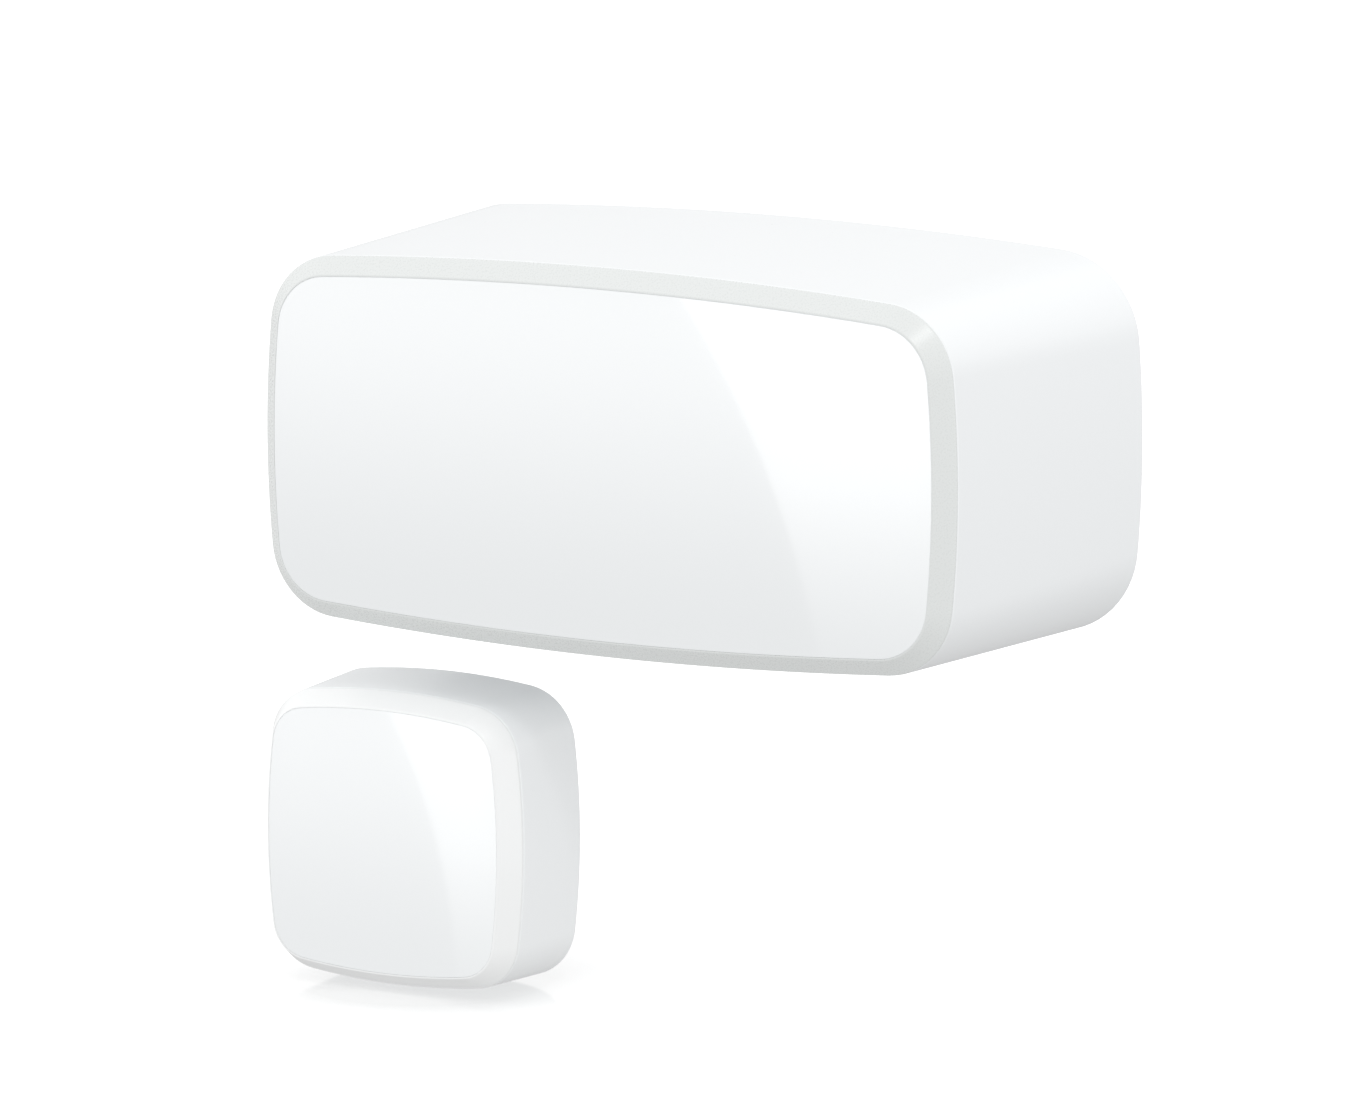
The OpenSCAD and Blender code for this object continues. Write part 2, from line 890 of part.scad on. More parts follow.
// Drawn cup that is open at the positive end
module cell_can() {
    color("silver")
        difference() {
            rod(can_r, cell_left, can_right, y_cell, 0);
            rod(can_r - can_t, cell_left + can_t, can_right + 1, y_cell, 0);
        }
}

// Wound lithium, separator and carbon, as one solid
module cell_electrodes() {
    color([0.25, 0.25, 0.27])
        rod(can_r - can_t, cell_left + can_t, cover_left, y_cell, 0);
}

module cell_cover() {
    color("silver")
        difference() {
            rod(can_r - can_t, cover_left, can_right - cover_sink, y_cell, 0);
            rod(seal_r, cover_left - 1, can_right + 1, y_cell, 0);
        }
}

module cell_seal() {
    color([0.15, 0.15, 0.16])
        difference() {
            rod(seal_r, cover_left, can_right - cover_sink, y_cell, 0);
            rod(pin_r, cover_left - 1, can_right + 1, y_cell, 0);
        }
}

module cell_terminal() {
    color("silver")
        union() {
            rod(pin_r, cover_left, can_right + eps, y_cell, 0);
            rod(terminal_r, can_right, cell_right, y_cell, 0);
        }
}

// Shrunk sleeve, folded over the rim at the positive end
module cell_sleeve() {
    fold = 1.3;
    color([0.1, 0.35, 0.2])
        difference() {
            rod(cell_d / 2, cell_left + 0.2, can_right + sleeve_t, y_cell, 0);
            rod(can_r, cell_left - 1, can_right, y_cell, 0);
            rod(can_r - fold, cell_left, can_right + 1, y_cell, 0);
        }
}

// ---------- Magnet unit ----------

module at_magnet() {
    translate([magnet_x, 0, magnet_z])
        children();
}

module magnet_housing() {
    pocket_gap = magnet_spigot - spigot_gap;
    y_edge = y_magnet_bevel + parting;
    edge_steps = 3;
    rib_t = 0.9;
    rib_l = 2.4;
    color("white")
        at_magnet()
            difference() {
                loft(concat(
                    [
                        for (i = [0 : edge_steps])
                            let (t = 90 * i / edge_steps, y = y_edge + edge_r * (1 - cos(t)))
                                ring(magnet_outline(y, -edge_r * (1 - sin(t))), y)
                    ],
                    [
                        for (i = [0 : edge_steps])
                            let (t = 90 * i / edge_steps, y = y_magnet_rim - rim_r * (1 - sin(t)))
                                ring(magnet_outline(y, -rim_r * (1 - cos(t))), y)
                    ]
                ));
                difference() {
                    slab(
                        magnet_outline(y_magnet_inside, -magnet_wall),
                        y_magnet_inside,
                        y_magnet_rim + 1
                    );
                    for (s = [-1, 1]) {
                        block(
                            [s * (block_w / 2 + block_gap + rib_t / 2), 0],
                            [rib_t, rib_l],
                            y_magnet_inside - eps,
                            y_magnet_inside + 1.8
                        );
                        block(
                            [0, s * (block_h / 2 + block_gap + rib_t / 2)],
                            [rib_l, rib_t],
                            y_magnet_inside - eps,
                            y_magnet_inside + 1.8
                        );
                    }
                }
                slab(magnet_outline(y_magnet_bevel, -pocket_gap), y_front, y_magnet_bezel_back);
            }
}

module magnet_bezel() {
    gap = magnet_bevel_w + land;
    color([0.93, 0.93, 0.93])
        at_magnet()
            difference() {
                union() {
                    loft([
                        ring(magnet_outline(y_magnet_bevel, -magnet_bevel_w), y_front),
                        ring(magnet_outline(y_magnet_bevel, 0), y_magnet_bevel),
                        ring(magnet_outline(y_magnet_bevel, -0.02), y_magnet_bevel + parting),
                    ]);
                    slab(
                        magnet_outline(y_magnet_bevel, -magnet_spigot),
                        y_magnet_bevel,
                        y_magnet_bezel_back
                    );
                }
                slab(magnet_outline(y_magnet_bevel, -gap), y_front - 1, y_magnet_film + film_t);
                slab(
                    magnet_outline(y_magnet_bevel, -gap - ledge_w),
                    y_front - 1,
                    y_magnet_bezel_back + 1
                );
            }
}

module magnet_panel() {
    chamfer = 0.12;
    gap = magnet_bevel_w + land + panel_gap;
    color("white")
        at_magnet()
            loft([
                ring(magnet_outline(y_magnet_bevel, -gap - chamfer), y_front),
                ring(magnet_outline(y_magnet_bevel, -gap), y_front + chamfer),
                ring(magnet_outline(y_magnet_bevel, -gap), y_magnet_film),
            ]);
}

module magnet_panel_adhesive() {
    gap = magnet_bevel_w + land;
    color([0.2, 0.2, 0.22])
        at_magnet()
            frame_slab(
                magnet_outline(y_magnet_bevel, -gap - 0.2),
                magnet_outline(y_magnet_bevel, -gap - ledge_w),
                y_magnet_film,
                y_magnet_film + film_t
            );
}

module magnet_block() {
    color([0.62, 0.63, 0.65])
        at_magnet()
            block([0, 0], [block_w, block_h], y_magnet_inside, y_magnet_base_front - cushion_t);
}

module magnet_cushion() {
    color([0.25, 0.25, 0.27])
        at_magnet()
            block(
                [0, 0],
                [block_w - 2, block_h - 2],
                y_magnet_base_front - cushion_t,
                y_magnet_base_front
            );
}

module magnet_back_plate() {
    gap = 0.12;
    color("whitesmoke")
        at_magnet()
            slab(
                magnet_outline(y_magnet_inside, -magnet_wall - gap),
                y_magnet_base_front,
                y_magnet_base
            );
}

module magnet_adhesive_pad() {
    inset = 2.2;
    color([0.85, 0.87, 0.88])
        at_magnet()
            slab(
                magnet_outline(y_magnet_inside, -inset),
                y_magnet_base,
                y_magnet_mount
            );
}

base_plate();
sensor_adhesive_pad();
housing();
front_bezel();
front_panel();
panel_adhesive();
cell_cradle();
circuit_board();
housing_screws();
radio_shield();
microcontroller();
crystal();
chip_antenna();
status_led();
bulk_capacitor();
smd_capacitors();
smd_resistors();
test_pads();
tact_switch_body();
reset_button();
reed_glass();
reed_leads();
reed_fixed_blade();
reed_moving_blade();
positive_contact();
negative_contact();
negative_spring();
contact_solder();
cell_can();
cell_electrodes();
cell_cover();
cell_seal();
cell_terminal();
cell_sleeve();
magnet_housing();
magnet_bezel();
magnet_panel();
magnet_panel_adhesive();
magnet_block();
magnet_cushion();
magnet_back_plate();
magnet_adhesive_pad();
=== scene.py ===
"""Looks of a two-piece door contact sensor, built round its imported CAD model.

The sensor unit and the magnet unit get smooth moulded shells, satin bezels and glossy panels in place of
their plain CAD solids. The pieces inside get rounded edges and the finishes that they have on a bench.
"""

import json
import logging
import math
from dataclasses import dataclass, fields, replace
from enum import Enum
from typing import Iterable, Sequence

import bmesh
import bpy
from mathutils import Matrix, Vector


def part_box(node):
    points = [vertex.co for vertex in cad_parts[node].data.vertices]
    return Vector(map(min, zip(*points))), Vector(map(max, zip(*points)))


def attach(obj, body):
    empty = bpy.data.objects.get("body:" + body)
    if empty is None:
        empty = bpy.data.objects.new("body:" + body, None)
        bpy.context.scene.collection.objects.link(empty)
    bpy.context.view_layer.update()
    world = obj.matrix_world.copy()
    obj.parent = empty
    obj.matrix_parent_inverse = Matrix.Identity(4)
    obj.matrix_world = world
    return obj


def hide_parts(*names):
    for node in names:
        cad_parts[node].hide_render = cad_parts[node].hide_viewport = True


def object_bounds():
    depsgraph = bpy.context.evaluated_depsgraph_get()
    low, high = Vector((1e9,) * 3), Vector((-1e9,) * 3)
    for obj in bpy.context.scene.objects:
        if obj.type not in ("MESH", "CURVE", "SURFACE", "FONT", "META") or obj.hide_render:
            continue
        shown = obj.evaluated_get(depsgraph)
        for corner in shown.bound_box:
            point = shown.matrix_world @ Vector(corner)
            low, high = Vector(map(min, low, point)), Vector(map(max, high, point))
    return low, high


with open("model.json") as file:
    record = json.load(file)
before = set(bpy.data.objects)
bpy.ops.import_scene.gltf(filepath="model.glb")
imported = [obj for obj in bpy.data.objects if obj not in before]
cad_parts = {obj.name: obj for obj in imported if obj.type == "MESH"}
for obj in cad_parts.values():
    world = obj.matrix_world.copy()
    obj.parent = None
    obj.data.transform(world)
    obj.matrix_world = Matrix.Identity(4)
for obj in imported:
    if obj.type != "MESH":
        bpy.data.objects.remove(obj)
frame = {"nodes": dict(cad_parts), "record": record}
CAD_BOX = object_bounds()
MM = 0.001
WELD = 1e-7
LOG = logging.getLogger("door_contact_sensor")


# ---------------------------------------------------------------- shader graphs


class Value:
    """A socket that Python's operators can combine into Math nodes."""

    def __init__(self, graph: "Graph", socket: bpy.types.NodeSocket) -> None:
        """Wraps a socket.

        Args:
            graph: The graph that new nodes go into.
            socket: The output socket that carries the number.
        """
        self.graph = graph
        self.socket = socket

    def _math(self, operation: str, left: object, right: object) -> "Value":
        """Adds one Math node on two numbers.

        Args:
            operation: The Math node's operation.
            left: Its first value or link.
            right: Its second value or link.

        Returns:
            The node's result.
        """
        node = self.graph.add("ShaderNodeMath", {"operation": operation}, {0: left, 1: right})
        return Value(self.graph, node.outputs[0])

    def __add__(self, other: object) -> "Value":
        """Sum."""
        return self._math("ADD", self, other)

    __radd__ = __add__

    def __mul__(self, other: object) -> "Value":
        """Product."""
        return self._math("MULTIPLY", self, other)

    __rmul__ = __mul__

    def __sub__(self, other: object) -> "Value":
        """Difference."""
        return self._math("SUBTRACT", self, other)

    def __rsub__(self, other: object) -> "Value":
        """Difference from a plain number."""
        return self._math("SUBTRACT", other, self)

    def __gt__(self, other: object) -> "Value":
        """One where this is greater, else nought."""
        return self._math("GREATER_THAN", self, other)

    def __lt__(self, other: object) -> "Value":
        """One where this is less, else nought."""
        return self._math("LESS_THAN", self, other)


class Graph:
    """A node tree of one material or world, with one way to add a node."""

    def __init__(self, tree: bpy.types.NodeTree) -> None:
        """Empties a tree and keeps it.

        Args:
            tree: The node tree to fill.
        """
        self.tree = tree
        tree.nodes.clear()

    def add(self, kind: str, settings: dict | None = None, inputs: dict | None = None) -> bpy.types.Node:
        """Adds a node.

        Args:
            kind: The node's type name.
            settings: Properties to set first. The key stops takes a colour ramp's (place, colour) pairs.
            inputs: Values or links for its sockets, by name or number.

        Returns:
            The new node.
        """
        node = self.tree.nodes.new(kind)
        for key, value in (settings or {}).items():
            if key == "stops":
                self._set_stops(node, value)
            else:
                setattr(node, key, value)
        for key, value in (inputs or {}).items():
            socket = node.inputs[key]
            if isinstance(value, Value):
                self.tree.links.new(value.socket, socket)
            elif isinstance(value, bpy.types.NodeSocket):
                self.tree.links.new(value, socket)
            else:
                socket.default_value = value
        return node

    @staticmethod
    def _set_stops(node: bpy.types.Node, stops: Sequence[tuple]) -> None:
        """Puts a colour ramp's stops in place.

        Args:
            node: The Color Ramp node.
            stops: Pairs of place and colour.
        """
        elements = node.color_ramp.elements
        while len(elements) < len(stops):
            elements.new(0.5)
        for element, (place, colour) in zip(elements, stops):
            element.position = place
            element.color = (*colour, 1.0)

    def position(self) -> bpy.types.NodeSocket:
        """Object coordinates, which are the part's own frame in metres."""
        return self.add("ShaderNodeTexCoord").outputs["Object"]

    def noise(self, scale: float, detail: float = 3.0, stretch: Sequence[float] = (1, 1, 1)) -> Value:
        """Smooth noise over the surface.

        Args:
            scale: Features per metre.
            detail: Octaves.
            stretch: Scale along each axis.

        Returns:
            The noise from nought to one.
        """
        mapping = self.add("ShaderNodeMapping", {}, {"Vector": self.position(), "Scale": tuple(stretch)})
        node = self.add(
            "ShaderNodeTexNoise",
            {"noise_dimensions": "3D"},
            {"Vector": mapping.outputs[0], "Scale": scale, "Detail": detail, "Roughness": 0.55},
        )
        return Value(self, node.outputs["Fac"])

    def ramp(
        self, source: object, start: float, end: float, first: float, last: float, shape: str = "LINEAR"
    ) -> Value:
        """A number that goes from one value to another as its source does.

        Args:
            source: The number that drives it.
            start: The source's value at the first value.
            end: The source's value at the last value.
            first: First value.
            last: Last value.
            shape: Map Range's interpolation.

        Returns:
            The ramp's number.
        """
        inputs = {"Value": source, "From Min": start, "From Max": end, "To Min": first, "To Max": last}
        return Value(self, self.add("ShaderNodeMapRange", {"interpolation_type": shape}, inputs).outputs[0])

    def blend(self, share: Value, dark: Sequence[float], light: Sequence[float]) -> bpy.types.NodeSocket:
        """A colour between two, by a number.

        Args:
            share: Nought gives dark and one gives light.
            dark: First colour.
            light: Second colour.

        Returns:
            The colour socket.
        """
        inputs = {"Factor": share, 6: (*dark, 1.0), 7: (*light, 1.0)}
        return self.add("ShaderNodeMix", {"data_type": "RGBA"}, inputs).outputs[2]

    def bump(self, height: Value, strength: float, distance: float) -> bpy.types.NodeSocket:
        """A bumped normal.

        Args:
            height: The surface's height from nought to one.
            strength: Share of the effect.
            distance: Height of one, in metres.

        Returns:
            The normal socket.
        """
        inputs = {"Height": height, "Strength": strength, "Distance": distance}
        return self.add("ShaderNodeBump", {}, inputs).outputs["Normal"]


# ---------------------------------------------------------------- finishes


@dataclass(frozen=True)
class Finish:
    """A moulded or coated surface: colour, gloss and the fine texture of its mould."""

    name: str
    colour: tuple[float, float, float]
    roughness: float = 0.35
    tint: float = 0.03
    tint_up: float = 0.4
    tint_scale: float = 900.0
    grain: float = 0.0
    grain_scale: float = 3000.0
    grain_detail: float = 3.0
    rough_spread: float = 0.08
    metallic: float = 0.0
    coat: float = 0.0
    coat_roughness: float = 0.03
    ior: float = 1.5
    stretch: tuple[float, float, float] = (1.0, 1.0, 1.0)

    def constants(self) -> dict:
        """The Principled BSDF's values that are the same all over."""
        return {
            "Metallic": self.metallic,
            "IOR": self.ior,
            "Coat Weight": self.coat,
            "Coat Roughness": self.coat_roughness,
        }

    def colours(self, graph: Graph) -> bpy.types.NodeSocket:
        """The base colour, varied a little over the surface.

        Args:
            graph: The material's graph.

        Returns:
            The colour socket.
        """
        dark = tuple(channel * (1 - self.tint) for channel in self.colour)
        light = tuple(min(1.0, channel * (1 + self.tint * self.tint_up)) for channel in self.colour)
        return graph.blend(graph.noise(self.tint_scale), dark, light)

    def make(self) -> bpy.types.Material:
        """Builds the material, or gives the one already built.

        Returns:
            The material.
        """
        known = bpy.data.materials.get(f"{self.name}_finish")
        if known is not None:
            return known
        material = bpy.data.materials.new(f"{self.name}_finish")
        material.use_nodes = True
        graph = Graph(material.node_tree)
        fine = graph.noise(self.grain_scale, self.grain_detail, self.stretch)
        rough = fine * (2 * self.rough_spread) + (self.roughness - self.rough_spread)
        inputs = {"Base Color": self.colours(graph), "Roughness": rough, **self.constants()}
        if self.grain:
            inputs["Normal"] = graph.bump(fine, 1.0, self.grain)
        shader = graph.add("ShaderNodeBsdfPrincipled", {}, inputs)
        graph.add("ShaderNodeOutputMaterial", {}, {"Surface": shader.outputs[0]})
        return material


@dataclass(frozen=True)
class Glass(Finish):
    """Clear or tinted glass."""

    def constants(self) -> dict:
        """The Principled BSDF's values that are the same all over."""
        return {**super().constants(), "Transmission Weight": 1.0}


@dataclass(frozen=True)
class BandedFinish(Finish):
    """A finish with printed bands across one axis, each given by its ends in millimetres."""

    axis: str = "X"
    bands: tuple[tuple[float, float], ...] = ()
    band_colour: tuple[float, float, float] = (0.8, 0.8, 0.8)

    def colours(self, graph: Graph) -> bpy.types.NodeSocket:
        """The plain colour with its bands.

        Args:
            graph: The material's graph.

        Returns:
            The colour socket.
        """
        place = graph.add("ShaderNodeSeparateXYZ", {}, {0: graph.position()}).outputs[self.axis]
        colour = super().colours(graph)
        for first, last in self.bands:
            inside = (Value(graph, place) > first * MM) * (Value(graph, place) < last * MM)
            inputs = {"Factor": inside, 6: colour, 7: (*self.band_colour, 1.0)}
            colour = graph.add("ShaderNodeMix", {"data_type": "RGBA"}, inputs).outputs[2]
        return colour


@dataclass(frozen=True)
class BoardFinish(Finish):
    """Solder mask over copper: tracks show as a raised, lighter net under the green."""

    track: tuple[float, float, float] = (0.05, 0.30, 0.15)
    track_scale: float = 420.0
    track_spread: float = 0.75
    track_edge: float = 0.42

    def colours(self, graph: Graph) -> bpy.types.NodeSocket:
        """Green mask, lighter over the copper.

        Args:
            graph: The material's graph.

        Returns:
            The colour socket.
        """
        bricks = graph.add(
            "ShaderNodeTexVoronoi",
            {"distance": "CHEBYCHEV", "feature": "F1"},
            {"Vector": graph.position(), "Scale": self.track_scale, "Randomness": self.track_spread},
        )
        edge = Value(graph, bricks.outputs["Distance"]) > self.track_edge
        return graph.blend(edge, self.colour, self.track)


WHITE_SHELL = Finish(
    "shell_white", (0.862, 0.88, 0.89), roughness=0.3, tint=0.006, tint_scale=40, grain=6e-7,
    grain_scale=9000, grain_detail=2, rough_spread=0.05, coat=0.25, coat_roughness=0.12,
)
WHITE_PANEL = Finish(
    "panel_gloss", (0.832, 0.85, 0.858), roughness=0.05, tint=0.004, tint_scale=40, grain_scale=300,
    grain_detail=2, rough_spread=0.01, coat=1.0, coat_roughness=0.01,
)
# The magnet unit's shell is the same white plastic as the sensor unit's. This copy is painted lighter to
# stand in for light on its sides, which lie in the sensor unit's shade.
MAGNET_SHELL_PAINTED_LIGHTER = replace(WHITE_SHELL, name="magnet_shell_white", colour=(0.895, 0.912, 0.92))
GREY_BEZEL = Finish(
    "bezel_satin", (0.718, 0.738, 0.73), roughness=0.28, tint=0.012, tint_scale=60, grain=6e-7,
    grain_scale=9000, grain_detail=2, rough_spread=0.05,
)
WHITE_BEZEL = Finish(
    "magnet_bezel_satin", (0.89, 0.9, 0.9), roughness=0.3, tint=0.006, tint_scale=60, grain=6e-7,
    grain_scale=9000, grain_detail=2, rough_spread=0.05, coat=0.3, coat_roughness=0.1,
)
WALL_PLASTIC = Finish(
    "base_plastic", (0.78, 0.785, 0.79), roughness=0.48, tint=0.02, tint_scale=90, grain=4e-6,
    grain_scale=5200, grain_detail=4,
)
FOAM = Finish(
    "foam_tape", (0.66, 0.69, 0.71), roughness=0.85, tint=0.12, grain=3e-5, grain_scale=3800,
    grain_detail=5,
)
FILM = Finish(
    "film", (0.035, 0.035, 0.04), roughness=0.4, tint=0.2, tint_scale=500, grain=2e-6, rough_spread=0.06,
)
NYLON = Finish(
    "cradle_plastic", (0.7, 0.7, 0.67), roughness=0.5, tint=0.04, tint_scale=160, grain=4e-6,
    grain_scale=4500, grain_detail=4,
)
BOARD = BoardFinish(
    "board", (0.012, 0.1, 0.05), roughness=0.28, tint=0.05, tint_scale=200, grain=2e-6, grain_scale=1800,
    coat=0.3,
)
STEEL = Finish(
    "screw_steel", (0.58, 0.58, 0.6), roughness=0.3, tint=0.12, grain=3e-6, grain_scale=2600,
    rough_spread=0.1, metallic=1.0,
)
TIN = Finish(
    "shield_tin", (0.7, 0.7, 0.69), roughness=0.34, tint=0.08, tint_scale=700, grain=2e-6,
    grain_scale=1800, rough_spread=0.1, metallic=1.0,
)
BLACK_EPOXY = Finish(
    "chip_black", (0.018, 0.018, 0.02), roughness=0.55, tint=0.15, grain=6e-6, grain_scale=9000,
    rough_spread=0.06,
)
CRYSTAL_CAN = Finish(
    "crystal_can", (0.72, 0.7, 0.66), roughness=0.25, tint=0.08, tint_scale=600, grain=1e-6,
    grain_scale=2600, metallic=1.0,
)
CERAMIC = Finish(
    "antenna_ceramic", (0.45, 0.66, 0.7), roughness=0.3, tint=0.06, grain=3e-6, grain_scale=4000,
)
LENS = Finish(
    "led_lens", (0.88, 0.84, 0.5), roughness=0.12, tint=0.05, grain_scale=2000, grain_detail=2,
    rough_spread=0.04, coat=0.6,
)
TANTALUM = BandedFinish(
    "tantalum", (0.6, 0.31, 0.04), roughness=0.42, tint=0.08, grain=4e-6, grain_scale=6000, axis="Z",
    bands=((2.5, 3.0),), band_colour=(0.28, 0.1, 0.02),
)
CAPACITOR = Finish(
    "capacitor_ceramic", (0.3, 0.2, 0.11), roughness=0.38, tint=0.12, tint_scale=1200, grain=4e-6,
    grain_scale=5000,
)
RESISTOR = Finish(
    "resistor_black", (0.02, 0.02, 0.022), tint=0.15, tint_scale=1200, grain=3e-6, grain_scale=5000,
)
GOLD = Finish("gold_pad", (0.86, 0.6, 0.24), roughness=0.28, tint=0.08, grain=2e-6, metallic=1.0)
SWITCH_BLACK = Finish(
    "switch_black", (0.03, 0.03, 0.033), roughness=0.5, tint=0.12, tint_scale=500, grain=5e-6,
    grain_scale=5000,
)
BUTTON_GREY = Finish(
    "button_grey", (0.09, 0.095, 0.105), roughness=0.4, tint=0.1, tint_scale=500, grain=3e-6,
    grain_scale=6000,
)
REED_GLASS = Glass(
    "reed_tube", (0.7, 0.9, 0.76), roughness=0.03, tint_scale=400, grain_scale=300, grain_detail=2,
    rough_spread=0.01,
)
REED_METAL = Finish(
    "reed_metal", (0.72, 0.7, 0.66), roughness=0.2, tint=0.1, grain=1e-6, rough_spread=0.06, metallic=1.0,
)
NICKEL = Finish(
    "contact_nickel", (0.74, 0.7, 0.62), roughness=0.26, tint=0.1, tint_scale=500, grain=2e-6,
    grain_scale=2200, metallic=1.0,
)
SPRING_STEEL = Finish(
    "spring_steel", (0.6, 0.6, 0.61), roughness=0.24, tint=0.1, tint_scale=700, grain=2e-6, metallic=1.0,
)
SOLDER = Finish(
    "solder", (0.68, 0.69, 0.71), roughness=0.25, tint=0.12, tint_scale=1200, grain=6e-6, grain_scale=2600,
    rough_spread=0.1, metallic=1.0,
)
CELL_STEEL = Finish(
    "cell_steel", (0.66, 0.66, 0.66), roughness=0.28, tint=0.06, tint_scale=300, grain=2e-6,
    grain_scale=900, metallic=1.0, stretch=(0.05, 1, 1),
)
CELL_WRAP = BandedFinish(
    "cell_wrap", (0.012, 0.085, 0.048), roughness=0.26, tint=0.1, tint_scale=300, grain=6e-6,
    grain_scale=420, rough_spread=0.06, coat=0.5, coat_roughness=0.08, bands=((-3.6, -2.7), (16.9, 17.4),
    (17.9, 19.2)), band_colour=(0.72, 0.73, 0.72),
)
ELECTRODE = Finish(
    "electrode_roll", (0.05, 0.05, 0.055), roughness=0.7, tint=0.2, grain=1e-5, grain_scale=2500,
    rough_spread=0.06,
)
RUBBER = Finish(
    "seal_black", (0.02, 0.02, 0.02), roughness=0.6, tint=0.2, grain=5e-6, grain_scale=4000,
    rough_spread=0.06,
)
MAGNET_NICKEL = Finish(
    "magnet_plating", (0.6, 0.6, 0.62), roughness=0.22, tint=0.08, tint_scale=300, grain=2e-6,
    grain_scale=1600, grain_detail=4, rough_spread=0.1, metallic=1.0,
)
CUSHION_FOAM = Finish(
    "cushion_foam", (0.03, 0.03, 0.034), roughness=0.9, tint=0.3, tint_scale=1500, grain=4e-5,
    grain_scale=3200, grain_detail=5, rough_spread=0.05,
)

SLOT_FINISH = {
    finish.name: finish
    for finish in (
        WHITE_SHELL, WHITE_PANEL, GREY_BEZEL, WHITE_BEZEL, WALL_PLASTIC, FOAM, FILM, NYLON, BOARD, STEEL,
        TIN, BLACK_EPOXY, CRYSTAL_CAN, CERAMIC, LENS, TANTALUM, CAPACITOR, RESISTOR, GOLD, SWITCH_BLACK,
        BUTTON_GREY, REED_GLASS, REED_METAL, NICKEL, SPRING_STEEL, SOLDER, CELL_STEEL, CELL_WRAP,
        ELECTRODE, RUBBER, MAGNET_NICKEL, CUSHION_FOAM,
    )
}
NODE_SLOT = {part["node"]: part["material_slot"] for part in frame["record"]["subparts"]}


# ---------------------------------------------------------------- mesh helpers


def node_body(node: str) -> str:
    """The name of the body that a CAD node rides on.

    Args:
        node: The CAD node's name.

    Returns:
        The body's name.
    """
    bodies = frame["record"]["behaviour"]["bodies"]
    return next(body for body, members in bodies.items() if node in members)


def bevel(
    bm: bmesh.types.BMesh, edges: Iterable[bmesh.types.BMEdge], width: float, segments: int = 3
) -> None:
    """Rounds some edges.

    Args:
        bm: The mesh.
        edges: The edges to round.
        width: Width of the rounding, in metres.
        segments: Facets across it.
    """
    bmesh.ops.bevel(
        bm, geom=list(edges), offset=width, offset_type="OFFSET", segments=segments, profile=0.5,
        affect="EDGES", material=-1, clamp_overlap=True,
    )


def finish_piece(
    bm: bmesh.types.BMesh, name: str, stands_for: Sequence[str], finish: Finish, smooth_below: float = 32.0
) -> bpy.types.Object:
    """Turns a finished mesh into a piece that rides with its CAD node.

    Args:
        bm: The mesh, which is freed.
        name: The piece's name.
        stands_for: The CAD nodes that it replaces. The first one gives its body.
        finish: Its material.
        smooth_below: Edges turned by less than this many degrees are shaded smooth.

    Returns:
        The piece.
    """
    bmesh.ops.recalc_face_normals(bm, faces=bm.faces[:])
    mesh = bpy.data.meshes.new(name)
    bm.to_mesh(mesh)
    bm.free()
    mesh.polygons.foreach_set("use_smooth", [True] * len(mesh.polygons))
    mesh.set_sharp_from_angle(angle=math.radians(smooth_below))
    mesh.materials.append(finish.make())
    piece = bpy.data.objects.new(name, mesh)
    bpy.context.scene.collection.objects.link(piece)
    weighted = piece.modifiers.new("even_normals", "WEIGHTED_NORMAL")
    weighted.keep_sharp = True
    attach(piece, node_body(stands_for[0]))
    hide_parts(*stands_for)
    LOG.info("%s: %d faces, stands for %s", name, len(mesh.polygons), ", ".join(stands_for))
    return piece


def subtract(bm: bmesh.types.BMesh, cutter: bmesh.types.BMesh) -> bmesh.types.BMesh:
    """Cuts one closed shape out of another.

    Args:
        bm: The shape to cut, which is freed.
        cutter: The shape to cut out, which is freed.

    Returns:
        What is left.
    """
    bodies = []
    for name, shape in (("cut_body", bm), ("cut_tool", cutter)):
        bmesh.ops.recalc_face_normals(shape, faces=shape.faces[:])
        mesh = bpy.data.meshes.new(name)
        shape.to_mesh(mesh)
        shape.free()
        bodies.append(bpy.data.objects.new(name, mesh))
        bpy.context.scene.collection.objects.link(bodies[-1])
    cut = bodies[0].modifiers.new("cut", "BOOLEAN")
    cut.operation = "DIFFERENCE"
    cut.solver = "EXACT"
    cut.use_self = True
    cut.object = bodies[1]
    depsgraph = bpy.context.evaluated_depsgraph_get()
    left = bmesh.new()
    left.from_mesh(bodies[0].evaluated_get(depsgraph).data)
    for body in bodies:
        mesh = body.data
        bpy.data.objects.remove(body)
        bpy.data.meshes.remove(mesh)
    return left


class Edge(Enum):
    """How widely a piece's edges are rounded, in metres."""

    HAIR = 0.012 * MM
    FINE = 0.035 * MM
    CUT = 0.06 * MM
    SOFT = 0.10 * MM
    MOULDED = 0.15 * MM
    WORN = 0.25 * MM


def peg(
    bm: bmesh.types.BMesh, place: Sequence[float], radius: float, front: float, rear: float, edge: Edge
) -> None:
    """Adds an upright round peg with rounded ends.

    Args:
        bm: The mesh to add it to.
        place: Its centre in x and z.
        radius: Its radius.
        front: Its front end along Y.
        rear: Its rear end along Y.
        edge: The rounding of its ends.
    """
    turn = Matrix.Rotation(math.pi / 2, 4, "X")
    made = bmesh.ops.create_cone(
        bm, cap_ends=True, cap_tris=False, segments=40, radius1=radius, radius2=radius, depth=rear - front,
        matrix=Matrix.Translation((place[0], (front + rear) / 2, place[1])) @ turn,
    )
    ends = {edge_item for vert in made["verts"] for edge_item in vert.link_edges}
    rims = [item for item in ends if abs(item.verts[0].co.y - item.verts[1].co.y) < WELD]
    bevel(bm, rims, edge.value)


# ---------------------------------------------------------------- outlines


def between(start: float, end: float, share: float) -> float:
    """The number that lies a share of the way from one to another.

    Args:
        start: The number at share 0.
        end: The number at share 1.
        share: How far along.

    Returns:
        The number.
    """
    return start + (end - start) * share


